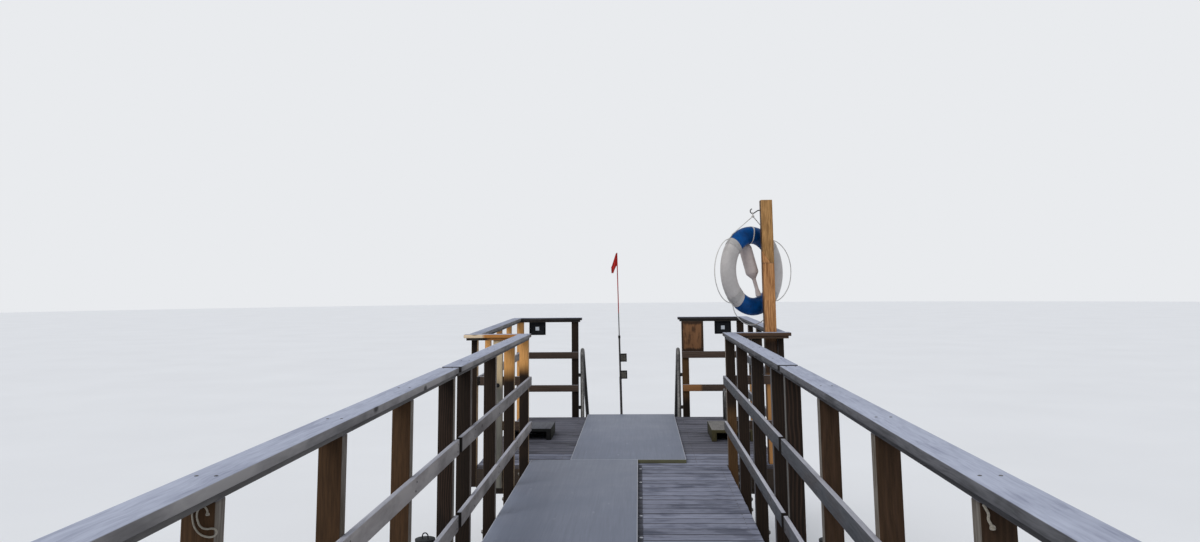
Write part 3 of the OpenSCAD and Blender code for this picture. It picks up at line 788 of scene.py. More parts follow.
class Wood(Stock):
    """The jetty's timber finishes, by what they are on."""

    # Planed decking under hoarfrost: pale grey faces, fine fibres, and dark seams that are wet and
    # carry painted shade of the gaps.
    DECK = WoodFinish(
        "rimed_pine_decking", "4d4a4e", "26262c", "5d595c", "898d9e", "4a4e5e", "48454a",
        side_share=0.2, fibre_mm=6, fibre_share=0.7, top_blotch=0.55, blotch_mm=130, top_lines=0.3,
        seam_share=0.75,
    )
    # The same with a dark strip beside the walk sheet: damp, and the raised sheet's painted shadow.
    WALK_DECK = replace(DECK, name="walk_decking", damp_and_shadow_x=(80.0, 113.0))
    # The same with darker upper faces.
    FAR_DECK = replace(DECK, name="damp_decking", top="62636e", top_dark="33333a")
    # Wide cap boards: thick rime on top, a dark body and paler sides painted for how the light
    # falls, and painted low sunlight, honey and cream, on some.
    CAP = WoodFinish(
        "rimed_pine_cap", "2e2b2b", "232223", "403d3d", "a8aebf", "858a9d", "6e6f74",
        side_share=0.95, fibre_share=0.45, blotch_share=0.6, top_blotch=0.4, painted_light="bd8245",
        painted_light_dark="855428", strip="a3a09f", end_share=0.6, top_lines=0.35,
    )
    # Boards in the caps' shade stay brown and hold little rime, with patches of painted sunlight.
    UNDER = WoodFinish(
        "shaded_pine_board", "332f2c", "1f1d1c", "443f3a", "77757e", "5a5960", "525358",
        side_share=0.9, painted_light="a8743f", painted_light_dark="5d3d22", strip="757371",
    )
    # Rails on the open side: rime above, sawn faces with nearly black wet ends, and painted
    # sunlight:
    # a warm patch on one far rail and pale sides on the left ones.
    RAIL = WoodFinish(
        "rimed_pine_rail", "4a3c33", "2d2521", "5e5048", "aeafb8", "878994", "5a6068",
        side_share=0.95, fibre_share=0.4, blotch_share=0.35, top_blotch=0.3, end="0d0c0c",
        end_share=0.9, strip="aaa5a3", sunlit_cream="b97f48",
    )
    # Pressure-treated posts: dark with painted shade, and yellow with painted low sunlight on the
    # upper parts of some.
    POST = WoodFinish(
        "treated_pine_post", "20160f", "110c08", "302318", "8f8d98", "67656d", "7b7a7e",
        side_share=0.9, fibre_share=0.6, blotch_share=0.4, ring_share=0.4, painted_light="ecb06a",
        painted_light_dark="b57a3f", strip="c9aa82",
    )
    # Posts near the shore stand in shade: their painted light is a dull brown over the whole post.
    NEAR_POST = replace(
        POST, name="brown_pine_post", painted_light="4b3521", painted_light_dark="281c12", pale="46342a",
        side="8a8986", ring_share=0.5, blotch_share=0.7,
    )
    # An older post that the weather has bleached to an even grey, with painted sunlight, cream, on
    # its upper part.
    GREY_POST = WoodFinish(
        "bleached_pine_post", "6c6b64", "4c4b46", "8a877d", "8f8d98", "67656d", "7b7a7e",
        side_share=0.9, painted_light="d8c29c", painted_light_dark="a98f68",
    )
    # Beams under the deck: dark treated wood with little frost.
    BEAM = WoodFinish(
        "treated_pine_beam", "322a24", "1c1713", "42372d", "6d6b74", "4c4a50", "403830",
        side_share=0.3, frost=0.6,
    )
    # Low boxes of boards: greenish with algae, the left one in shade.
    RIGHT_STEP = WoodFinish(
        "weathered_pine_step", "45402a", "232114", "57533a", "72706e", "504f4e", "2e2b1b",
        side_share=0.9, top_blotch=0.6, end_share=0.1,
    )
    LEFT_STEP = replace(
        RIGHT_STEP, name="shaded_pine_step", body="17181a", dark="0e0f10", pale="222422",
        top="66686f", top_dark="47484d", side="2c2e26",
    )
    # The stair's low timbers: damp, with a film of frost.
    TREAD = WoodFinish(
        "damp_pine_tread", "47403a", "2a2522", "5a5048", "6e6b72", "4f4c51", "453e38",
        side_share=0.3, frost=0.55, top_blotch=0.6,
    )
    # A rough-sawn spare board: warm brown, coarse fibres and dark ragged rims.
    BARE = WoodFinish(
        "rough_spruce_board", "825b3d", "2b1f17", "a27a57", "8f8377", "6d6055", "6b5340",
        side_share=0.2, frost=0.4, fibre_mm=14, fibre_share=0.4, blotch_mm=55, blotch_share=0.7,
        ring_share=0.3, edge_share=0.9,
    )
    # Planed and oiled timber: warm, smoother than the rest, greener above the lap joint. Its honey
    # and cream are painted sunlight on the warm wood, and its dark body shows only under the cap,
    # as painted shade.
    MAST = WoodFinish(
        "oiled_pine_mast", "3d2c20", "22180f", "543d2b", "b3a596", "94826f", "4e3725",
        side_share=0.85, frost=0.6, fibre_mm=9, fibre_share=0.85, blotch_share=0.3, ring_mm=16,
        ring_share=0.3, knot_share=0.75, roughness=0.68, painted_light="c08c5b", painted_light_dark="714520",
        sunlit_cream="c58f58", sunlit_cream_to=-0.1,
    )
    MAST_TOP = replace(MAST, name="green_pine_mast", painted_light="b58a58", painted_light_dark="694a25")
    # Round piles: dark, wet and nearly free of frost.
    PILE = WoodFinish(
        "wet_larch_pile", "3a2f27", "1c1713", "4d3f33", "5a544f", "45403c", "3a2f27",
        frost=0.3, fibre_mm=10, roughness=0.7,
    )


class Fitting(Stock):
    """The finishes of all that isn't timber."""

    SHEET = SheetFinish()
    # Hot-dip galvanised tube: dull grey zinc with a coarse spangle.
    ZINC = MetalFinish("galvanised_tube", "6d6c6b", "474646", "8d8c8a", 0.75, 0.48)
    # Bent bar under black paint that rust breaks through.
    IRON = MetalFinish("black_iron", "1b1b1d", "101012", "2e2c2c", 0.0, 0.5, rust=0.4)
    # Powder-coated aluminium, almost without gloss, and the plate behind its rim.
    HOUSING = MetalFinish(
        "painted_housing", "0f1014", "07080a", "191b1f", 0.0, 0.5, specular=0.06
    )
    BACKING = MetalFinish(
        "dark_lamp_plate", "1d1f22", "121315", "2a2c30", 0.0, 0.5, specular=0.06
    )
    # Painted sheet steel, stained brown by the weather.
    PLATE = MetalFinish("grey_plate", "5b5851", "33322f", "747067", 0.0, 0.5)
    # Old tube: worn zinc with wide dark flakes, runs and rust.
    MOTTLED = MetalFinish("mottled_tube", "464344", "201f20", "686463", 0.3, 0.6, 20, 0.3, 0.35)
    # Brushed enamel on a rod: an even red with paler rubbed runs.
    ROD = MetalFinish("red_rod_paint", "a8150d", "6e0c08", "c42a1e", 0.0, 0.6)
    # Washers under hoarfrost: nearly white and matt.
    RIMED = MetalFinish("rimed_steel", "c3c6cd", "8f939c", "d6d9df", 0.0, 0.7)
    # Moulded skins of the ring and the float: chalky, with grime in the hollows.
    BLUE = PlasticFinish("blue_polyethylene", "053568", "032748", "0a4f92", 0.3, 0.4, 0.08)
    WHITE = PlasticFinish("white_polyethylene", "b1adab", "948e8d", "bebab8", 0.42, 0.2)
    FOAM = PlasticFinish("float_polyethylene", "bfb2ae", "9b8f8c", "cbc0bc", 0.42, 0.25)
    # Woven strap that has gone matt and grey.
    WEB = PlasticFinish("pale_webbing", "a2a09f", "7f7b7b", "b0adab", 0.6)
    # Moulded rubber cap: black and matt.
    RUBBER = PlasticFinish("black_rubber", "1e2022", "131415", "303234", 0.7)
    # Off-white braid, soiled twine, and thin bunting that the light catches little.
    CORD = FibreFinish("braided_polyester", "d6d4d0", "a19d98", 3.0)
    TWINE = FibreFinish("soiled_twine", "a39d90", "6b655a", 2.0, roughness=0.95)
    FLAG = FibreFinish("red_flag_cloth", "c01a10", "7c0d08", 2.0, 0.08)
    # Moulded opal polycarbonate: pale and milky, with a soft gloss.
    OPAL = HazyFinish("opal_polycarbonate", "c3cad2", "8d949d", 12, 3.0, 0.4, 0.3)
    # A plain matt floor that doesn't draw the eye, with a haze 2.5 m wide.
    FLOOR = HazyFinish("pale_floor", "e3e5e8", "eceef1", 2500, 2.0, 1.0, 0.9)


Second = tuple[Stock, Callable[[Vector], bool]]


def cold(low: Vector, high: Vector) -> Point:
    """Says that no board of a piece is sunned."""
    return (0.0, 0.0, 0.0)


# Posts with painted light, mostly low sunlight: x from and to, y from and to, and their sun
# (see mark_boards). The first row that holds a post counts.
SUNNED_POSTS: Sequence[tuple[float, float, float, float, Point]] = (
    (-math.inf, 0, -math.inf, 3000, (1.0, -1.5, 0.1)),
    (0, math.inf, -math.inf, 3000, (0.5, -1.5, 0.1)),
    (-math.inf, -1150, 7000, math.inf, (0.95, -1.5, 0.7)),
    (-math.inf, -1150, 3000, 7000, (0.0, 0.0, 1.0)),
    (-900, -780, 6300, math.inf, (1.0, 0.5, 0.9)),
    (-900, -780, 5400, 6300, (1.0, 0.57, 0.9)),
    (-900, -780, 3000, 5400, (0.0, 0.0, 0.15)),
    (1150, math.inf, 9000, math.inf, (0.0, 0.0, 0.0)),
    (0, 1150, 9000, math.inf, (0.09, -0.5, 0.3)),
    (1150, math.inf, 7000, 9000, (-0.8, -0.2, 0.3)),
    (-1100, -1000, 3000, 6500, (0.9, 0.3, 0.5)),
    (0, math.inf, 6300, 6400, (-0.08, -0.15, 0.3)),
)


def sunned_post(low: Vector, high: Vector) -> Point:
    """Says which posts get painted light, mostly the honey colour of low sun, and how far up.

    Args:
        low: the post's lowest corner.
        high: its highest corner; not used.

    Returns:
        The post's sun.
    """
    x, y = low.x / MM, (low.y - SHORE_Y) / MM
    for left, right, start, end, sun in SUNNED_POSTS:
        if left < x <= right and start < y <= end:
            return sun
    return cold(low, high)


def sunned_cap(low: Vector, high: Vector) -> Point:
    """Says how much painted sunlight the platform's near boards take, and that left ones take
    painted sunlight on faces that look across.

    Args:
        low: the board's lowest corner.
        high: its highest corner.

    Returns:
        The board's sun.
    """
    across = high.x - low.x > high.y - low.y
    if not across or low.y > place(0, NEAR_SIDE_Y, 0).y:
        return (0.0, 0.0, 0.85 if low.x < 0 else 0.0)
    return (2.0, -1.5, 1.0) if low.x < 0 else (0.12, -1.5, 0.5)


def sunned_under(low: Vector, high: Vector) -> Point:
    """Says the same for the boards under them, whose painted sunlight stops short of their outer
    end.
    """
    share, _, strip = sunned_cap(low, high)
    return (min(share, 1.0), -0.4, strip)


def sunned_rail(low: Vector, high: Vector) -> Point:
    """Says that the left rails take painted sunlight on faces that look across, and a far right one
    a warm patch of painted sunlight.

    Args:
        low: the rail's lowest corner.
        high: its highest corner; not used.

    Returns:
        The rail's sun.
    """
    warm = place(*WARM_RAIL)
    if low.x > warm.x and low.y > warm.y and low.z < warm.z:
        return (1.5, 1.5, 0.0)
    return (0.0, 0.0, 0.9 if low.x < 0 else 0.0)


def is_grey_post(spot: Vector) -> bool:
    """Returns whether a place is on the platform's near post on the left."""
    low, high = (place(x, y, 0) for x, y in GREY_POST)
    return low.x < spot.x < high.x and low.y < spot.y < high.y


def is_rimed(spot: Vector) -> bool:
    """Returns whether a place is on the platform's rimed boards."""
    return spot.y < place(0, RIME_LINE_Y, 0).y


def is_past_head(spot: Vector) -> bool:
    """Returns whether a place is on the sloping part of the stair's handrails."""
    return spot.y > place(0, HANDRAIL_SLOPE_Y, 0).y


NODES: dict[str, Piece] = {}


def deselect() -> None:
    """Leaves object mode with nothing selected."""
    if bpy.context.object and bpy.context.object.mode != "OBJECT":
        bpy.ops.object.mode_set(mode="OBJECT")
    bpy.ops.object.select_all(action="DESELECT")


def pick(piece: Piece, *others: Piece) -> None:
    """Selects some pieces and nothing else, and makes the first the active one.

    Args:
        piece: the piece to make active.
        others: further pieces.
    """
    deselect()
    for part in (piece, *others):
        part.select_set(True)
    bpy.context.view_layer.objects.active = piece


@contextmanager
def editing(piece: Piece) -> Iterator[None]:
    """Opens a piece in edit mode with all of it selected, and closes it again.

    Args:
        piece: the mesh object to shape.

    Yields:
        Nothing, with the piece open.
    """
    pick(piece)
    bpy.ops.object.mode_set(mode="EDIT")
    bpy.ops.mesh.select_mode(type="FACE")
    bpy.ops.mesh.select_all(action="SELECT")
    yield
    bpy.ops.object.mode_set(mode="OBJECT")


def select_faces(piece: Piece, wanted: Callable[[bmesh.types.BMFace], bool]) -> None:
    """Selects, in edit mode, the faces that a test accepts and no others.

    Args:
        piece: the object in edit mode.
        wanted: the test, given each face.
    """
    bpy.ops.mesh.select_mode(type="FACE")
    bpy.ops.mesh.select_all(action="DESELECT")
    mesh = bmesh.from_edit_mesh(piece.data)
    for face in mesh.faces:
        if wanted(face):
            face.select_set(True)
    mesh.select_flush(True)
    bmesh.update_edit_mesh(piece.data)


def round_arrises(size: float, angle: float, clamp: bool = True) -> None:
    """Rounds, in edit mode, all edges that are sharp.

    Args:
        size: the bevel's width in millimetres.
        angle: from how many degrees on an edge is sharp.
        clamp: whether bevels stop where they would meet.
    """
    bpy.ops.mesh.select_mode(type="EDGE")
    bpy.ops.mesh.select_all(action="DESELECT")
    bpy.ops.mesh.edges_select_sharp(sharpness=math.radians(angle))
    bpy.ops.mesh.bevel(offset=size * MM, segments=2, affect="EDGES", clamp_overlap=clamp)


def settle(piece: Piece, name: str) -> Piece:
    """Names a piece and moves its place, turn and size into its mesh.

    Args:
        piece: the object.
        name: its name, and its mesh's.

    Returns:
        The piece, at the origin.
    """
    pick(piece)
    bpy.ops.object.transform_apply(location=True, rotation=True, scale=True)
    piece.name = piece.data.name = name
    return piece


def block(name: str, size: Sequence[float], middle: Sequence[float] = (0, 0, 0)) -> Piece:
    """Starts a piece as a block.

    Args:
        name: the block's name.
        size: its three sides in metres.
        middle: its middle in the row frame.

    Returns:
        The block.
    """
    bpy.ops.mesh.primitive_cube_add(size=1.0)
    piece = bpy.context.object
    piece.scale, piece.location = size, middle
    return settle(piece, name)


def joined(parts: Sequence[Piece], name: str) -> Piece:
    """Joins like pieces into one mesh.

    Args:
        parts: the pieces, each with its own mesh.
        name: the joined piece's name.

    Returns:
        The one object that is left.
    """
    pick(*parts)
    bpy.ops.object.join()
    return settle(parts[0], name)


def copies(model: Piece, spots: Sequence[Matrix], name: str) -> Piece:
    """Sets a small modelled thing out at many places, as one joined mesh.

    Args:
        model: the thing, at the origin.
        spots: where each copy goes.
        name: the joined piece's name.

    Returns:
        The joined mesh. The model itself is removed.
    """
    whole, old = bpy.data.meshes.new(name), model.data
    gathered = bmesh.new()
    for spot in spots:
        part = old.copy()
        part.transform(spot)
        gathered.from_mesh(part)
        bpy.data.meshes.remove(part)
    gathered.to_mesh(whole)
    gathered.free()
    made = bpy.data.objects.new(name, whole)
    bpy.context.scene.collection.objects.link(made)
    bpy.data.objects.remove(model)
    bpy.data.meshes.remove(old)
    return made


def smooth(piece: Piece, angle: float = 35.0) -> None:
    """Shades a piece smooth, apart from edges sharper than that many degrees."""
    pick(piece)
    bpy.ops.object.shade_smooth_by_angle(angle=math.radians(angle))


def copy_of(node: str, name: str, flatten: bool = True) -> Piece:
    """Copies a frame node, for finer work.

    Args:
        node: the frame node.
        name: the copy's name.
        flatten: whether the triangles of a flat face become one face.

    Returns:
        The welded copy, without a finish.
    """
    made = bpy.data.objects.new(name, NODES[node].data.copy())
    made.data.name = name
    made.data.materials.clear()
    bpy.context.scene.collection.objects.link(made)
    with editing(made):
        bpy.ops.mesh.remove_doubles(threshold=WELD)
        if flatten:
            bpy.ops.mesh.dissolve_limited(angle_limit=FLAT)
    return made


def tint(piece: Piece, finishes: Sequence[Stock], choose: Callable[[Vector], int]) -> None:
    """Gives each face of a piece one of several finishes.

    Args:
        piece: the piece, with the finishes that it has so far.
        finishes: the finishes that come after those.
        choose: gives the number of a face's finish from the face's centre.
    """
    for finish in finishes:
        piece.data.materials.append(finish.coat)
    for face in piece.data.polygons:
        face.material_index = choose(face.center)


def mount(
    piece: Piece, finish: Optional[Stock], replaces: Sequence[str] = (),
    second: Optional[Second] = None,
) -> Piece:
    """Dresses a finished piece and fastens it to the jetty.

    Args:
        piece: the finished mesh or curve.
        finish: its finish, or None where its faces have their own.
        replaces: the frame nodes that it stands for.
        second: a further finish, and which places get it.

    Returns:
        The piece.
    """
    if finish:
        piece.data.materials.clear()
        piece.data.materials.append(finish.coat)
    if second:
        tint(piece, [second[0]], lambda spot: int(second[1](spot)))
    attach(piece, "root")
    if replaces:
        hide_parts(*replaces)
    LOG.info("%s: %d faces", piece.name, len(getattr(piece.data, "polygons", [])))
    return piece


def mark_boards(piece: Piece, seed: int, sunning: Sunning = cold) -> None:
    """Gives each board of a piece its own grain, tone and place along its length.

    Writes grain (metres, with z along the board), span (from -1 to 1 over the board's box),
    tone (a draw from 0 to 1) and sun (how much painted light, from which span on, and how much
    painted sunlight the faces take that look across).

    Args:
        piece: a mesh of separate boards.
        seed: fixes the draws.
        sunning: gives sun from a board's lowest and highest corner.
    """
    draw = random.Random(seed)
    mesh = bmesh.new()
    mesh.from_mesh(piece.data)
    grain, span, sun = (
        mesh.verts.layers.float_vector.new(name) for name in ("grain", "span", "sun")
    )
    tone = mesh.verts.layers.float.new("tone")
    seen: set[bmesh.types.BMVert] = set()
    for first in mesh.verts:
        if first in seen:
            continue
        board, queue = [], [first]
        seen.add(first)
        while queue:
            vert = queue.pop()
            board.append(vert)
            for edge in vert.link_edges:
                other = edge.other_vert(vert)
                if other not in seen:
                    seen.add(other)
                    queue.append(other)
        low, high = (
            Vector([most(vert.co[i] for vert in board) for i in range(3)]) for most in (min, max)
        )
        size, middle = high - low, (low + high) / 2
        long = max(range(3), key=lambda i: size[i])
        order = [i for i in range(3) if i != long] + [long]
        shift = Vector([draw.uniform(0, 40) for _ in range(3)])
        shade, sunned = draw.random(), Vector(sunning(low, high))
        for vert in board:
            off = vert.co - middle
            vert[grain] = Vector([off[i] for i in order]) + shift
            vert[span] = Vector([2 * off[i] / max(size[i], 1e-6) for i in order])
            vert[tone] = shade
            vert[sun] = sunned
    mesh.to_mesh(piece.data)
    mesh.free()


class Work(Protocol):
    """A sub-assembly, which holds its sizes and builds itself."""

    def build(self) -> object:
        """Builds, dresses and mounts the sub-assembly."""


@dataclass
class Timberwork:
    """Sawn members taken from the frame: each gets rounded arrises and its own grain."""

    node: str
    finish: Stock
    slot: Slot
    arris: float
    seed: int
    sunning: Sunning = cold
    second: Optional[Second] = None

    def build(self) -> Piece:
        """Builds the members of one node.

        Returns:
            The piece.
        """
        piece = copy_of(self.node, f"{self.node}_timber")
        with editing(piece):
            round_arrises(self.arris, 35)
        mark_boards(piece, self.seed, self.sunning)
        smooth(piece)
        return mount(piece, self.finish, [self.node], self.second)


@dataclass
class Decking:
    """Boards laid across the walk on one node's place, with thin frosted gaps."""

    node: str
    finish: Stock
    first_y: float
    seed: int
    second: Optional[Second] = None
    pitch: float = 122.0
    gap: float = 4.0
    wide_gap: float = 8.0
    wide_every: int = 10
    least: float = 12.0
    arris: float = 3.0
    end_ease: float = 0.5
    sink: float = 1.4
    shrink: float = 6.0

    def board(self, length: float, thick: float) -> Piece:
        """Models one board at the origin, with rounded arrises.

        Args:
            length: the board's length in metres.
            thick: its thickness in metres.

        Returns:
            The board.
        """
        piece = block("board", (length, (self.pitch - self.gap) * MM, thick))
        with editing(piece):
            select_faces(piece, lambda face: abs(face.normal.x) > 0.9)
            bpy.ops.mesh.inset(thickness=self.end_ease * MM)
            round_arrises(self.arris, 35, clamp=False)
        return piece

    def build(self) -> Piece:
        """Lays the boards over the node's box.

        Returns:
            All of them as one piece.
        """
        low, high = (Vector(corner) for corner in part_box(self.node))
        draw = random.Random(self.seed)
        thick = high.z - low.z
        spots, y, index = [], self.first_y * MM + SHORE_Y, 0
        while y < high.y - 1e-6:
            start, end = max(y, low.y), min(y + self.pitch * MM, high.y)
            gap = self.wide_gap if index % self.wide_every == 0 else self.gap
            y += self.pitch * MM
            index += 1
            if end - start <= self.least * MM:
                continue
            start, end = start + gap * MM / 2, end - self.gap * MM / 2
            wide = (end - start) / ((self.pitch - self.gap) * MM)
            sink = draw.uniform(0, self.sink) * MM
            short = 1 - draw.uniform(0, self.shrink) * MM / (high.x - low.x)
            middle = ((low.x + high.x) / 2, (start + end) / 2, (low.z + high.z - sink) / 2)
            scale = Matrix.Diagonal((short, wide, (thick - sink) / thick, 1))
            spots.append(Matrix.Translation(middle) @ scale)
        piece = copies(self.board(high.x - low.x, thick), spots, f"{self.node}_boards")
        mark_boards(piece, self.seed)
        smooth(piece)
        return mount(piece, self.finish, [self.node], self.second)


@dataclass
class Studio:
    """Camera, soft light and pale floor."""

    camera_place: Point = (0.1075, -6.3365, 2.708)
    yaw: float = -2.37
    pitch: float = 7.83
    roll: float = -0.526
    lens: float = 27.0
    shift_y: float = -0.0928
    backdrop: str = "e9ebee"
    dome: float = 0.62
    dome_tint: str = "f2f5fb"
    sun: float = 1.35
    sun_tint: Point = (1.0, 0.985, 0.96)
    sun_wide: float = 40.0
    sun_aim: Point = (0.42, 0.62, -0.8)
    floor_radius: float = 120.0

    def set_camera(self) -> None:
        """Stands the camera where the picture was taken from."""
        yaw, pitch, roll = (math.radians(a) for a in (self.yaw, self.pitch, self.roll))
        level = Vector((math.sin(yaw), math.cos(yaw), 0))
        right = Vector((math.cos(yaw), -math.sin(yaw), 0))
        ahead = math.cos(pitch) * level + math.sin(pitch) * Vector((0, 0, 1))
        over = -math.sin(pitch) * level + math.cos(pitch) * Vector((0, 0, 1))
        rolled = math.cos(roll) * right + math.sin(roll) * over
        top = -math.sin(roll) * right + math.cos(roll) * over
        data = bpy.data.cameras.new("camera")
        data.sensor_fit, data.sensor_width, data.clip_end = "HORIZONTAL", 36.0, 200
        data.lens, data.shift_y = self.lens, self.shift_y
        camera = bpy.data.objects.new("camera", data)
        turn = Matrix((rolled, top, -ahead)).transposed().to_4x4()
        camera.matrix_world = Matrix.Translation(self.camera_place) @ turn
        bpy.context.scene.collection.objects.link(camera)
        bpy.context.scene.camera = camera

    def set_light(self) -> None:
        """Hangs one wide soft sun and an even dome, and keeps the backdrop's own colour."""
        scene = bpy.context.scene
        scene.view_settings.view_transform = "Standard"
        scene.world = bpy.data.worlds.new("studio")
        scene.world.use_nodes = True
        scene.world.node_tree.nodes.clear()
        add = partial(add_node, scene.world.node_tree)
        rays = add("LightPath").node.outputs
        seen = rays["Is Camera Ray"]
        for ray in ("Is Glossy Ray", "Is Transmission Ray"):
            seen = add("Math", {0: seen, 1: rays[ray]}, operation="ADD", use_clamp=True)
        light, back = (
            add("Background", {"Color": colour, "Strength": strength})
            for colour, strength in ((self.dome_tint, self.dome), (self.backdrop, 1.0))
        )
        add("OutputWorld", {"Surface": add("MixShader", {0: seen, 1: light, 2: back})})
        sun = bpy.data.lights.new("sun", "SUN")
        sun.energy, sun.angle, sun.color = self.sun, math.radians(self.sun_wide), self.sun_tint
        lamp = bpy.data.objects.new("sun", sun)
        lamp.rotation_euler = Vector(self.sun_aim).to_track_quat("-Z", "Y").to_euler()
        scene.collection.objects.link(lamp)

    def set_floor(self) -> None:
        """Lays a wide pale floor at the foot of the piles."""
        bpy.ops.mesh.primitive_circle_add(
            vertices=96, radius=self.floor_radius, fill_type="NGON"
        )
        floor = settle(bpy.context.object, "floor")
        floor.data.materials.append(Fitting.FLOOR.coat)

    def build(self) -> None:
        """Sets up the whole studio."""
        deselect()
        self.set_camera()
        self.set_light()
        self.set_floor()


def tie_knot(name: str, spot: Vector, thick: float, finish: Stock, turn: float = 0.0) -> Piece:
    """Ties a small overhand knot of a cord's own thickness.

    Args:
        name: the piece's name.
        spot: the knot's middle.
        thick: the cord's diameter in millimetres.
        finish: the cord's finish.
        turn: how far the knot is tipped over, in radians.

    Returns:
        The dressed knot.
    """
    deselect()
    bpy.ops.mesh.primitive_torus_add(
        major_segments=20, minor_segments=8, major_radius=thick * 0.55 * MM,
        minor_radius=thick * 0.5 * MM,
    )
    piece = bpy.context.object
    with editing(piece):
        bpy.ops.mesh.duplicate()
        bpy.ops.transform.rotate(value=1.1, orient_axis="X", center_override=(0, 0, 0))
        bpy.ops.transform.translate(value=(0, 0, thick * 0.35 * MM))
    piece.rotation_euler = (turn, 0, 0)
    piece.location = spot
    settle(piece, name)
    smooth(piece, 60)
    return mount(piece, finish)


@dataclass
class Cord:
    """One cord that hangs on the jetty, along the route that its frame node has."""

    name: str
    node: str
    route: Sequence[Vector]
    diameter: float
    far_end: FarEnd
    finish: Stock

    def curve(self) -> Piece:
        """Draws the route as one smooth spline with the cord's thickness.

        Returns:
            The curve.
        """
        data = bpy.data.curves.new(self.name, "CURVE")
        data.dimensions, data.resolution_u, data.render_resolution_u = "3D", 6, 6
        data.bevel_depth, data.bevel_resolution = self.diameter * MM / 2, 3
        data.use_fill_caps = True
        line = data.splines.new("BEZIER")
        line.bezier_points.add(len(self.route) - 1)
        for knot, point in zip(line.bezier_points, self.route):
            knot.co = point
            knot.handle_left_type = knot.handle_right_type = "AUTO"
        made = bpy.data.objects.new(self.name, data)
        bpy.context.scene.collection.objects.link(made)
        return made

    def build(self) -> Piece:
        """Returns:
            Its curve.
        """
        made = self.curve()
        mount(made, self.finish, [self.node])
        if self.far_end is FarEnd.KNOT:
            tie_knot(f"{self.name}_knot", self.route[-1], self.diameter, self.finish)
        return made


# The routes of the cords' frame nodes. The first is in the ring's own frame, x across it, y up
# and z towards the shore end, and the others have their post at y = 0.
GRAB_LINE: Sequence[Point] = (
    (266.1, 266.1, 0), (331, 245, 8), (390, 206, 14), (438, 153, 18), (470, 90, 20),
    (484.4, 20, 20), (480.5, -52, 18), (460, -118, 16), (422, -177, 12), (370, -224, 8),
    (309, -254, 4), (266.1, -266.1, 0), (238, -320, -6), (198, -369, -10), (142, -411, -14),
    (78, -438, -16), (10, -449, -18), (-60, -443, -18), (-125, -420, -16), (-183, -382, -12),
    (-230, -332, -6), (-266.1, -266.1, 0), (-309, -258, 6), (-370, -232, 12), (-422, -188, 18),
    (-460, -132, 24), (-482, -66, 26), (-486, 6, 26), (-472, 78, 24), (-440, 144, 20),
    (-392, 202, 14), (-331, 245, 8), (-266.1, 266.1, 0),
)
LEFT_RAIL_CORD: Sequence[Point] = (
    (-850, -2.3, 997), (-853, -4, 984), (-851, -6, 966), (-844, -7, 949), (-832, -7, 937),
    (-818, -7, 932), (-806, -7, 932), (-799, -7, 936), (-797, -7, 941), (-799, -7, 946),
    (-806, -8, 949), (-818, -8, 948), (-830, -9, 952), (-838, -9, 964), (-841, -8, 980),
    (-836, -8, 990), (-826, -10, 994), (-818, -12, 988), (-816, -12, 978),
)
RIGHT_RAIL_CORD: Sequence[Point] = (
    (812, -3.3, 999), (816, -5, 990), (820, -6, 980), (819, -7, 970), (823, -8, 960),
    (826, -8, 952),
)
CORD_POST_Y = 845.0


def by_post(points: Sequence[Point]) -> list[Vector]:
    """Returns a rail cord's points in the row frame."""
    return [place(x, CORD_POST_Y + y, z) for x, y, z in points]


def bearing(x: float, y: float) -> float:
    """Returns how far round the ring a place is, in degrees from 0 to 360."""
    return math.degrees(math.atan2(y, x)) % 360


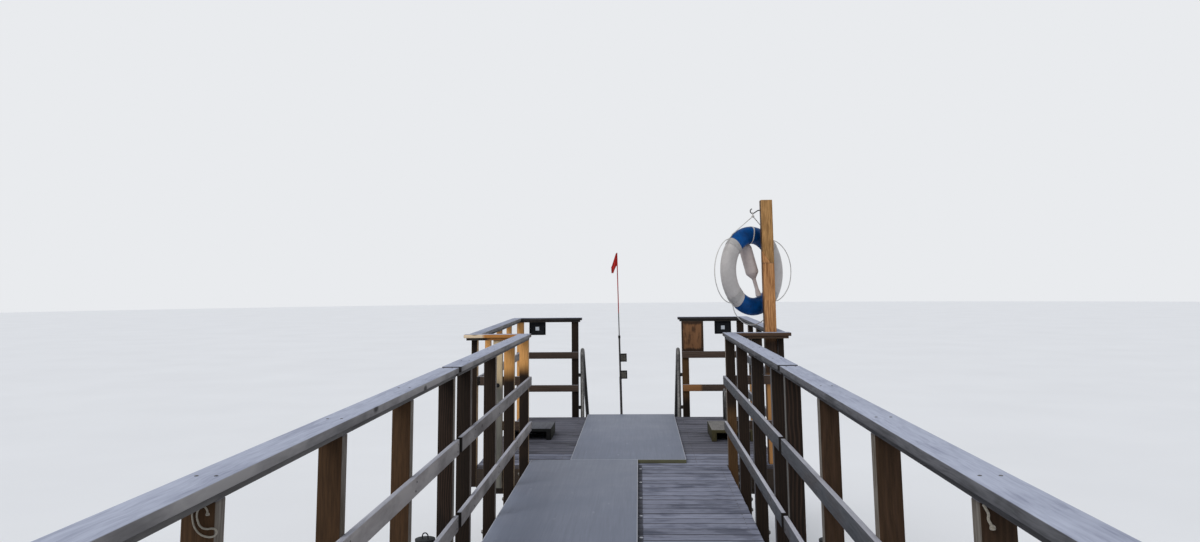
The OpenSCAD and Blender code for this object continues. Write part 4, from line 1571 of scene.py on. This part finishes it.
@dataclass
class LifeBuoy:
    """The moulded ring with blue and off-white quarters, its straps and the stowed float."""

    centre: Point = (1063.0, 6544.0, 1552.0)
    turn: float = 42.0
    core: float = 297.5
    half_band: float = 72.5
    half_thick: float = 52.0
    fullness: float = 2.3
    section_steps: int = 40
    # Where blue starts and ends, twice, in degrees, with half the width of the groove there.
    seams: tuple[float, float, float, float] = (45.5, 134.5, 234.0, 306.0)
    seam_half: float = 1.6
    seam_deep: float = 0.03
    part_line: float = 0.8
    straps: Sequence[float] = (42.0, 138.0, 222.0, 318.0)
    strap_wide: float = 60.0
    strap_thick: float = 1.8
    tie_at: float = 90.0
    tie_wide: float = 12.0
    tie_thick: float = 3.0
    tie_lean: float = 9.0
    knot: Point = (1079.5, 6524.0, 2005.0)

    def route(self, points: Sequence[Point]) -> list[Vector]:
        """Turns points of the ring's own frame into the row frame.

        Args:
            points: x across the ring, y up and z towards the shore end, in millimetres.

        Returns:
            The points in metres.
        """
        a = math.radians(self.turn)
        return [
            place(
                self.centre[0] + x * math.cos(a) + z * math.sin(a),
                self.centre[1] + x * math.sin(a) - z * math.cos(a),
                self.centre[2] + y,
            )
            for x, y, z in points
        ]

    def to_place(self) -> Matrix:
        """Makes the matrix from the ring's own metres to the row frame.

        Returns:
            The matrix.
        """
        a = math.radians(self.turn)
        turn = Matrix((
            (math.cos(a), 0, math.sin(a), 0), (math.sin(a), 0, -math.cos(a), 0), (0, 1, 0, 0),
            (0, 0, 0, 1),
        ))
        return Matrix.Translation(place(*self.centre)) @ turn

    def section(self, grow: float) -> list[tuple[float, float]]:
        """Draws the ring's section: a superellipse, fuller than an ellipse, as moulded bands are.

        Args:
            grow: how far the section stands off the ring's skin, in millimetres.

        Returns:
            Pairs of radius and height in millimetres.
        """
        made = []
        for i in range(self.section_steps):
            a = 2 * math.pi * i / self.section_steps
            out, up = (
                math.copysign(abs(part) ** (2 / self.fullness), part)
                for part in (math.cos(a), math.sin(a))
            )
            made.append(
                (self.core + (self.half_band + grow) * out, (self.half_thick + grow) * up)
            )
        return made

    def swept(self, start: float, end: float, grow: float, rings: int, name: str) -> Piece:
        """Spins the section through part of a turn, in the ring's own frame.

        Args:
            start: first angle in degrees.
            end: last angle in degrees.
            grow: how far the skin stands off the ring's, in millimetres.
            rings: how many steps the spin takes.
            name: the piece's name.

        Returns:
            The spun mesh, still at the origin.
        """
        bpy.ops.mesh.primitive_circle_add(
            vertices=self.section_steps, radius=1.0, fill_type="NOTHING"
        )
        piece = bpy.context.object
        a = math.radians(start)
        for vert, (r, z) in zip(piece.data.vertices, self.section(grow)):
            vert.co = Vector((r * math.cos(a), r * math.sin(a), z)) * MM
        with editing(piece):
            bpy.ops.mesh.select_mode(type="VERT")
            bpy.ops.mesh.select_all(action="SELECT")
            bpy.ops.mesh.spin(
                steps=rings, angle=math.radians(end - start), center=(0, 0, 0), axis=(0, 0, 1)
            )
            bpy.ops.mesh.select_all(action="SELECT")
            bpy.ops.mesh.remove_doubles(threshold=2 * WELD)
            bpy.ops.mesh.normals_make_consistent(inside=False)
        # The spin may turn either way, so what fell short of the start is turned on to the end.
        total = Matrix.Rotation(-a, 3, "Z") @ sum(
            (vert.co for vert in piece.data.vertices), Vector()
        )
        if total.y < 0 and end - start < 360:
            piece.data.transform(Matrix.Rotation(math.radians(end - start), 4, "Z"))
        piece.name = name
        return piece

    def wrapped(self, middle: float, wide: float, thick: float, name: str) -> Piece:
        """Wraps a band round the ring's own section.

        Args:
            middle: where on the ring it lies, in degrees.
            wide: its width over the ring's outside, in millimetres.
            thick: its thickness, in millimetres.
            name: the piece's name.

        Returns:
            The band, in the ring's own frame.
        """
        half = math.degrees(wide / 2 / (self.core + self.half_band))
        part = self.swept(middle - half, middle + half, 0.4, 6, name)
        pick(part)
        solid = part.modifiers.new("web", "SOLIDIFY")
        solid.thickness, solid.offset = thick * MM, 1.0
        bpy.ops.object.modifier_apply(modifier="web")
        return part

    def quarter(self, spot: Vector) -> int:
        """Returns 0 for a place on the ring's blue quarters, and 1 on the off-white ones."""
        at = bearing(spot.x, spot.y)
        return 0 if self.seams[0] < at < self.seams[1] or self.seams[2] < at < self.seams[3] else 1

    def build_ring(self) -> Piece:
        """Builds the ring with its colour quarters, the grooves where they meet and its lip.

        Returns:
            The ring.
        """
        piece = self.swept(0, 360, 0, 180, "life_buoy_ring")
        tint(piece, [Fitting.BLUE, Fitting.WHITE], self.quarter)
        inner, rim = self.core * MM, (self.core + self.half_band - 2) * MM
        for vert in piece.data.vertices:
            x, y, z = vert.co
            r = math.hypot(x, y)
            away = min(abs(bearing(x, y) - seam) for seam in self.seams)
            if away < self.seam_half:
                groove = 1 - self.seam_deep * (1 - away / self.seam_half)
                grown = inner + (r - inner) * groove
                vert.co = Vector((x / r * grown, y / r * grown, z * groove))
            # The mould's parting line stands proud round the outside.
            x, y, z = vert.co
            r = math.hypot(x, y)
            if r > rim and abs(z) < 3 * MM:
                grown = r + self.part_line * MM
                vert.co = Vector((x / r * grown, y / r * grown, z))
        piece.data.transform(self.to_place())
        smooth(piece, 60)
        return mount(piece, None, ["life_buoy"])

    def build(self) -> None:
        """Builds the ring, its straps, the float's tie and the hanger's knot."""
        self.build_ring()
        straps = joined(
            [self.wrapped(angle, self.strap_wide, self.strap_thick, "strap")
             for angle in self.straps],
            "life_buoy_straps",
        )
        tie = self.wrapped(self.tie_at, self.tie_wide, self.tie_thick, "life_buoy_float_tie")
        for vert in tie.data.vertices:
            # The float's weight drags the tie's inner side round towards it.
            out = vert.co.xy.length / MM - self.core + self.half_band
            inward = 1 - out / (2 * self.half_band)
            vert.co = Matrix.Rotation(math.radians(self.tie_lean * inward), 3, "Z") @ vert.co
        for piece, finish, slot in (
            (straps, Fitting.WEB, Slot.FLOAT_PLASTIC), (tie, Fitting.CORD, Slot.CORD),
        ):
            piece.data.transform(self.to_place())
            smooth(piece, 50)
            mount(piece, finish)
        tie_knot("life_buoy_hanger_knot", place(*self.knot), 12.0, Fitting.CORD, 0.5)


@dataclass
class BuoyPost:
    """The ring's post: a lower timber, an upper one and the wedge of its lap joint."""

    node: str = "buoy_post"
    seam_z: float = 1615.0
    wedge_z: float = 1712.0
    left_x: float = 1139.5
    wedge_x: float = 1206.0
    arris: float = 3.0
    seed: int = 67

    def timber(self, name: str, cuts: Sequence[tuple[Vector, Vector]]) -> Piece:
        """Saws one timber out of the whole post.

        Args:
            name: the timber's name.
            cuts: a point and a normal for each saw cut; what the normal points at goes.

        Returns:
            The timber with rounded arrises.
        """
        piece = copy_of(self.node, name)
        with editing(piece):
            for point, normal in cuts:
                bpy.ops.mesh.select_all(action="SELECT")
                bpy.ops.mesh.bisect(
                    plane_co=point, plane_no=normal, use_fill=True, clear_outer=True
                )
            bpy.ops.mesh.select_all(action="SELECT")
            bpy.ops.mesh.remove_doubles(threshold=WELD)
            bpy.ops.mesh.normals_make_consistent(inside=False)
            round_arrises(self.arris, 30)
        return piece

    def sunned(self, low: Vector, high: Vector) -> Point:
        """Says that only the lower timber has a dark band of painted shade, under the cap it stands
        behind; the rest takes painted sunlight.
        """
        return (2.0, 0.18, 0.0) if low.z < 2 else (1.0, -1.5, 0.0)

    def build(self) -> Piece:
        """Builds the three timbers.

        Returns:
            All of them as one piece.
        """
        seam, slope = (place(self.left_x, 0, z) for z in (self.seam_z, self.wedge_z))
        over = Vector((self.wedge_z - self.seam_z, 0, self.wedge_x - self.left_x)).normalized()
        up = Vector((0, 0, 1))
        parts = [
            self.timber("lower", [(seam, up)]),
            self.timber("wedge", [(seam, -up), (slope, over)]),
            self.timber("upper", [(seam, -up), (slope, -over)]),
        ]
        for i, (part, finish) in enumerate(zip(parts, (Wood.MAST, Wood.MAST, Wood.MAST_TOP))):
            part.data.materials.append(finish.coat)
            mark_boards(part, self.seed + i, self.sunned)
        piece = joined(parts, "buoy_post_timbers")
        smooth(piece)
        return mount(piece, None, [self.node])


@dataclass
class Smoothed:
    """A bent tube or turned part of the frame, welded and shaded smooth."""

    node: str
    finish: Stock
    slot: Slot
    angle: float = 40.0
    arris: float = 0.0
    second: Optional[Second] = None

    def build(self) -> Piece:
        """Builds the finer copy of the node.

        Returns:
            The piece.
        """
        piece = copy_of(self.node, f"{self.node}_finished", flatten=self.arris > 0)
        if self.arris:
            with editing(piece):
                round_arrises(self.arris, self.angle + 10)
        smooth(piece, self.angle)
        return mount(piece, self.finish, [self.node], self.second)


@dataclass
class Flag:
    """A small pennant that droops in folds from the top of the marker rod."""

    folds: float = 3.0
    fold_deep: float = 8.5
    rows: int = 44
    columns: int = 40
    narrow: float = 0.16
    full_at: float = 0.62
    lift: float = 0.62
    draw_in: float = 0.12
    sag: float = 0.1

    def build(self) -> Piece:
        """Returns:
            The cloth.
        """
        low, high = (Vector(corner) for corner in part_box("marker_flag"))
        deselect()
        bpy.ops.mesh.primitive_grid_add(
            x_subdivisions=self.columns, y_subdivisions=self.rows, size=2
        )
        piece = bpy.context.object
        reach, tall = high.x - low.x, high.z - low.z
        for vert in piece.data.vertices:
            across, down = (vert.co.x + 1) / 2, (1 - vert.co.y) / 2
            # It widens from the top, and its lower corner hangs clear of the rod.
            past = max(0.0, down - self.full_at)
            fly = reach * (self.narrow + (1 - self.narrow) * min(1.0, down / self.full_at))
            fly -= reach * self.draw_in * past
            hoist = reach * self.lift * (past / (1 - self.full_at)) ** 0.7
            x = high.x - hoist - across * (fly - hoist)
            wave = math.sin(self.folds * math.pi * across + 1.4 * down)
            y = (low.y + high.y) / 2 + wave * self.fold_deep * MM * (0.35 + 0.65 * down)
            sag = self.sag * tall * across * (1 - abs(2 * down - 1))
            vert.co = Vector((x, y, high.z - down * tall - sag))
        settle(piece, "marker_flag_cloth")
        smooth(piece, 80)
        mount(piece, Fitting.FLAG, ["marker_flag"])
        return piece


@dataclass
class MarkerPole:
    """The marker pole: a mottled tube, two framed plates and a red rod with its collar."""

    node: str = "marker_pole"
    rod_from: float = 850.0
    collar: float = 32.0
    red_from: float = 1124.0
    plate_zs: tuple[float, float] = (400.0, 690.0)
    plate_x: float = -88.0
    frame: float = 11.0
    panel_deep: float = 2.0

    def paint(self, spot: Vector) -> int:
        """Picks the finish of a place.

        Args:
            spot: a place on the pole.

        Returns:
            0 on the tube, 1 on the red rod, and 2 on the collar and the plates.
        """
        x, z = spot.x / MM, (spot.z - DECK_Z) / MM
        if self.rod_from < z < self.rod_from + self.collar:
            return 2
        if z > self.red_from:
            return 1
        return 2 if x > self.plate_x and self.plate_zs[0] < z < self.plate_zs[1] else 0

    def is_panel(self, face: bmesh.types.BMFace) -> bool:
        """Returns whether a face is the front of a plate."""
        front = face.normal.y < -0.9 and face.calc_area() > 0.002
        return front and face.calc_center_median().z > DECK_Z

    def build(self) -> Piece:
        """Builds the pole from its node, and sets the plates' panels in their frames.

        Returns:
            The pole.
        """
        piece = copy_of(self.node, "marker_pole_painted")
        with editing(piece):
            round_arrises(1, 50)
            bpy.ops.mesh.select_all(action="SELECT")
            bpy.ops.mesh.bisect(plane_co=place(0, 0, self.red_from), plane_no=(0, 0, 1))
        finishes = [Fitting.MOTTLED, Fitting.ROD, Fitting.IRON, Fitting.PLATE]
        tint(piece, finishes, self.paint)
        with editing(piece):
            select_faces(piece, self.is_panel)
            bpy.ops.mesh.inset(thickness=self.frame * MM)
            bpy.ops.transform.translate(value=(0, self.panel_deep * MM, 0))
            piece.active_material_index = finishes.index(Fitting.PLATE)
            bpy.ops.object.material_slot_assign()
        smooth(piece, 40)
        return mount(piece, None, [self.node])


def looks_up(face: bmesh.types.BMFace) -> bool:
    """Returns whether a face looks up."""
    return face.normal.z > 0.9


@dataclass
class Screw:
    """A domed screw head with its drive recess, looking up."""

    radius: float
    rise: float
    sides: int = 10
    # The dome's step and the recess: how far in, by the radius, and how far up, by the rise.
    steps: Sequence[tuple[float, float]] = ((0.35, 0.45), (0.3, -0.5))

    def model(self) -> Piece:
        """Models the head at the origin.

        Returns:
            The head.
        """
        bpy.ops.mesh.primitive_cylinder_add(
            vertices=self.sides, radius=self.radius * MM, depth=2 * self.rise * MM
        )
        piece = bpy.context.object
        with editing(piece):
            select_faces(piece, looks_up)
            for inset, lift in self.steps:
                bpy.ops.mesh.inset(thickness=inset * self.radius * MM)
                bpy.ops.transform.translate(value=(0, 0, lift * self.rise * MM))
        return settle(piece, "screw")


@dataclass
class CoachBolt:
    """A hexagon head on a round washer, looking up."""

    washer: float = 17.0
    washer_deep: float = 3.0
    head: float = 10.5
    head_deep: float = 8.0
    head_middle: float = 5.0
    # How far in and how far up the two rims are eased.
    washer_ease: tuple[float, float] = (1.2, 0.6)
    head_ease: tuple[float, float] = (1.5, 1.0)

    def model(self) -> Piece:
        """Models the head and its washer at the origin, both with eased rims.

        Returns:
            The head with its washer.
        """
        bpy.ops.mesh.primitive_cylinder_add(
            vertices=16, radius=self.washer * MM, depth=self.washer_deep * MM
        )
        piece = bpy.context.object
        with editing(piece):
            select_faces(piece, looks_up)
            bpy.ops.mesh.inset(thickness=self.washer_ease[0] * MM)
            bpy.ops.transform.translate(value=(0, 0, self.washer_ease[1] * MM))
            bpy.ops.mesh.primitive_cylinder_add(
                vertices=6, radius=self.head * MM, depth=self.head_deep * MM,
                location=(0, 0, self.head_middle * MM),
            )
            top = (self.head_middle + self.head_deep / 2 - 1) * MM
            select_faces(
                piece, lambda face: looks_up(face) and face.calc_center_median().z > top
            )
            bpy.ops.mesh.inset(thickness=self.head_ease[0] * MM)
            bpy.ops.transform.translate(value=(0, 0, self.head_ease[1] * MM))
        return settle(piece, "bolt")


@dataclass
class Fixings:
    """Screws and coach bolts, set out where the timbers of the fences cross."""

    # First post, spacing and number of posts, for the gangway and the walkway.
    bays: Sequence[tuple[float, float, int]] = ((34.0, 835.0, 5), (3829.0, 855.0, 4))
    rail_zs: Sequence[float] = (311.0, 669.0)
    rail_face: float = 783.0
    cap_x: float = 840.0
    cap_top: float = 1050.0
    post_face: float = 881.5
    bolt_zs: Sequence[float] = (-62.0, -134.0)
    corner: Point = (-1058.0, 6368.5, 640.0)

    def build(self) -> None:
        """Sets out every row of fixings."""
        posts = [first + pitch * i for first, pitch, count in self.bays for i in range(count)]
        rail_spots = [
            facing.at(side * self.rail_face, y + off * 0.5, z + off)
            for y in posts
            for side, facing in ((-1, Facing.RIGHT), (1, Facing.LEFT))
            for z in self.rail_zs
            for off in (-16, 16)
        ]
        cap_spots = [
            Facing.UP.at(side * self.cap_x + off, y, self.cap_top)
            for y in posts for side in (-1, 1) for off in (-22, 22)
        ]
        bolt_spots = [
            facing.at(side * self.post_face, y, z)
            for y in posts
            for side, facing in ((-1, Facing.LEFT), (1, Facing.RIGHT))
            for z in self.bolt_zs
        ]
        for name, fixing, spots in (
            ("rail_screws", Screw(4.5, 1.4), rail_spots),
            ("cap_screws", Screw(4.5, 1.0), cap_spots),
            ("post_bolts", CoachBolt(), bolt_spots),
        ):
            mount(copies(fixing.model(), spots, name), Fitting.ZINC)
        corner = copies(CoachBolt().model(), [Facing.SHORE.at(*self.corner)], "corner_bolt")
        mount(corner, Fitting.IRON)


@dataclass
class StepBacks:
    """The boards that close the far ends of the two low steps, both in the shaded step's dark
    finish, so that the steps' insides show painted shade.
    """

    boxes: Sequence[tuple[Point, Point]] = (
        ((-1094.0, 8005.0, 2.0), (-786.0, 8029.0, 76.0)),
        ((809.0, 8035.0, 2.0), (1117.0, 8059.0, 76.0)),
    )
    arris: float = 2.5
    seed: int = 90

    def build(self) -> Piece:
        """Models both boards with rounded arrises.

        Returns:
            Both as one piece.
        """
        parts = []
        for low, high in self.boxes:
            size = [(b - a) * MM for a, b in zip(low, high)]
            board = block("back_board", size, (place(*low) + place(*high)) / 2)
            with editing(board):
                bpy.ops.mesh.bevel(offset=self.arris * MM, segments=2, affect="EDGES")
            mark_boards(board, self.seed + len(parts))
            parts.append(board)
        piece = joined(parts, "low_step_backs")
        smooth(piece)
        return mount(piece, Wood.LEFT_STEP)


@dataclass
class DeckScrews:
    """Two screws in each deck board over each beam, and the rimed washers beside the walk sheet."""

    # From and to where along the jetty, and where across it.
    rows: Sequence[tuple[float, float, Sequence[float]]] = (
        (10.0, 3408.0, (-740.0, 0.0, 740.0)),
        (3540.0, 6418.0, (-740.0, 740.0)),
        (6480.0, 9060.0, (-1160.0, -560.0, 560.0, 1160.0)),
    )
    pitch: float = 122.0
    margin: float = 40.0
    off: float = 34.0
    sunk: float = 1.6
    washer_x: float = 100.0
    washer_ys: Sequence[float] = (4325.0, 4816.0, 5295.0, 5782.0, 6265.0)

    def build(self) -> None:
        """Sets the washers and the screws out over the decks."""
        spots = [Facing.UP.at(self.washer_x, y, 0) for y in self.washer_ys]
        washers = copies(Screw(11, 2.2).model(), spots, "rimed_washers")
        mount(washers, Fitting.RIMED)
        spots = []
        for start, end, xs in self.rows:
            y = start + self.pitch / 2
            while y < end - self.margin:
                spots += [
                    Facing.UP.at(x, y + off, -self.sunk)
                    for x in xs for off in (-self.off, self.off)
                ]
                y += self.pitch
        screws = copies(Screw(4.5, 1.6).model(), spots, "deck_screws")
        mount(screws, Fitting.ZINC)


@dataclass
class Lamps:
    """The two dark lamp housings under the far rail, with an opal pane and corner screws."""

    middle_x: float = 1032.0
    face_y: float = 9050.0
    middle_z: float = 962.5
    # The inner plate: where it starts behind the face, how deep it reaches, and half its sides.
    plate: tuple[float, float, float, float] = (3.0, 12.0, 73.0, 53.0)
    pane: float = 43.0
    pane_thick: float = 3.0
    pane_deep: float = 10.0
    pane_rim: float = 4.0
    pane_proud: float = 1.5
    pane_ease: float = 0.6
    screw_off: tuple[float, float] = (82.0, 61.0)

    def paint(self, spot: Vector) -> int:
        """Picks the finish of a place on a housing.

        Args:
            spot: a place on either housing.

        Returns:
            1 on the inner plate behind the rim, and 0 elsewhere.
        """
        start, deep, half_x, half_z = self.plate
        front = SHORE_Y + (self.face_y + start) * MM
        off_x = abs(abs(spot.x) - self.middle_x * MM)
        off_z = abs(spot.z - DECK_Z - self.middle_z * MM)
        behind = front < spot.y < front + deep * MM
        return int(behind and off_x < half_x * MM and off_z < half_z * MM)

    def build(self) -> None:
        """Dresses the housings, sets in their panes and screws their corners."""
        piece = copy_of("lamps", "lamp_housings")
        with editing(piece):
            round_arrises(1.5, 50)
        tint(piece, [Fitting.HOUSING, Fitting.BACKING], self.paint)
        smooth(piece, 40)
        mount(piece, None, ["lamps"])
        parts, spots = [], []
        for side in (-1, 1):
            x = side * self.middle_x
            pane = block("pane", (self.pane * MM, self.pane_thick * MM, self.pane * MM),
                         place(x, self.face_y + self.pane_deep, self.middle_z))
            with editing(pane):
                select_faces(pane, lambda face: face.normal.y < -0.9)
                bpy.ops.mesh.inset(thickness=self.pane_rim * MM)
                bpy.ops.transform.translate(value=(0, -self.pane_proud * MM, 0))
                bpy.ops.mesh.bevel(offset=self.pane_ease * MM, segments=2, affect="EDGES")
            parts.append(pane)
            spots += [
                Facing.SHORE.at(x + dx * self.screw_off[0], self.face_y,
                                self.middle_z + dz * self.screw_off[1])
                for dx in (-1, 1) for dz in (-1, 1)
            ]
        mount(joined(parts, "lamp_panes"), Fitting.OPAL)
        screws = copies(Screw(4, 1.2).model(), spots, "lamp_screws")
        mount(screws, Fitting.HOUSING)


def cords(buoy: LifeBuoy) -> list[Work]:
    """Lists the cords, which come first.

    Args:
        buoy: the ring that the grab line is led round.

    Returns:
        The cords in order.
    """
    return [
        Cord("grab_line_rope", "grab_line", buoy.route(GRAB_LINE), 8.0, FarEnd.OBJECT,
             Fitting.CORD),
        Cord("left_rail_cord", "rail_cord_left", by_post(LEFT_RAIL_CORD), 4.0, FarEnd.KNOT,
             Fitting.TWINE),
        Cord("right_rail_cord", "rail_cord_right", by_post(RIGHT_RAIL_CORD), 6.0, FarEnd.KNOT,
             Fitting.TWINE),
    ]


def woodwork() -> list[Work]:
    """Lists the decks, the fences and the other timbers.

    Returns:
        The works in order.
    """
    rail, step, beam = Slot.WEATHERED_RAIL, Slot.STEP_BOARD, Slot.DARK_BEAM
    works: list[Work] = [
        Decking("gangway_deck", Wood.DECK, 10.0, 11),
        Decking("walkway_deck", Wood.WALK_DECK, 3418.0, 12),
        Decking("platform_deck", Wood.FAR_DECK, 6418.0, 13, (Wood.DECK, is_rimed)),
    ]
    for seed, part in ((20, "gangway"), (30, "walkway"), (40, "platform")):
        post = Wood.NEAR_POST if part == "gangway" else Wood.POST
        works += [
            Timberwork(f"{part}_caps", Wood.CAP, Slot.FROSTED_BOARD, 3, seed, sunned_cap),
            Timberwork(f"{part}_under_boards", Wood.UNDER, rail, 2, seed + 1, sunned_under),
            Timberwork(f"{part}_mid_rails", Wood.RAIL, rail, 2.5, seed + 2, sunned_rail),
            Timberwork(f"{part}_posts", post, Slot.BROWN_POST, 2.5, seed + 3, sunned_post,
                       (Wood.GREY_POST, is_grey_post)),
            Timberwork(f"{part}_beams", Wood.BEAM, beam, 3, seed + 4),
        ]
    return works + [
        Timberwork("platform_end_beams", Wood.BEAM, beam, 3, 60),
        Timberwork("cross_beams", Wood.BEAM, beam, 4, 61),
        Timberwork("weathered_board", Wood.BARE, Slot.BARE_BOARD, 2, 62),
        Timberwork("low_step_left", Wood.LEFT_STEP, step, 2.5, 63),
        Timberwork("low_step_right", Wood.RIGHT_STEP, step, 2.5, 64),
        StepBacks(),
        Timberwork("stair_stringers", Wood.TREAD, step, 3, 65),
        Timberwork("stair_treads", Wood.TREAD, step, 3, 66),
        BuoyPost(),
        Timberwork("piles", Wood.PILE, Slot.PILE_WOOD, 4, 68),
        Timberwork("deck_sheet_near", Fitting.SHEET, Slot.DECK_SHEET, 1.2, 69),
        Timberwork("deck_sheet_far", Fitting.SHEET, Slot.DECK_SHEET, 1.2, 70),
    ]


def metalwork() -> list[Work]:
    """Lists the tubes and the turned and moulded parts.

    Returns:
        The works in order.
    """
    return [
        Smoothed("tube_hoop", Fitting.ZINC, Slot.TUBE_STEEL),
        # The handrails' sloping part takes the black iron finish as painted shade.
        Smoothed("stair_handrails", Fitting.ZINC, Slot.TUBE_STEEL,
                 second=(Fitting.IRON, is_past_head)),
        Smoothed("buoy_hook", Fitting.IRON, Slot.BLACK_IRON),
        Smoothed("pile_caps", Fitting.RUBBER, Slot.PILE_RUBBER, arris=1.5),
        Smoothed("ring_float", Fitting.FOAM, Slot.FLOAT_PLASTIC, 25, arris=8.0),
        Smoothed("buoy_hanger", Fitting.CORD, Slot.CORD, 60),
    ]


def main() -> None:
    """Builds the studio and the dressed jetty."""
    logging.basicConfig(level=logging.INFO, format="%(name)s: %(message)s")
    NODES.update(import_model()["nodes"])
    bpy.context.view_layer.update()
    buoy = LifeBuoy()
    works = [Studio(), *cords(buoy), *woodwork(), *metalwork()]
    works += [MarkerPole(), Flag(), buoy, Fixings(), DeckScrews(), Lamps()]
    for work in works:
        LOG.info("builds %s", type(work).__name__)
        work.build()


if __name__ == "__main__":
    main()
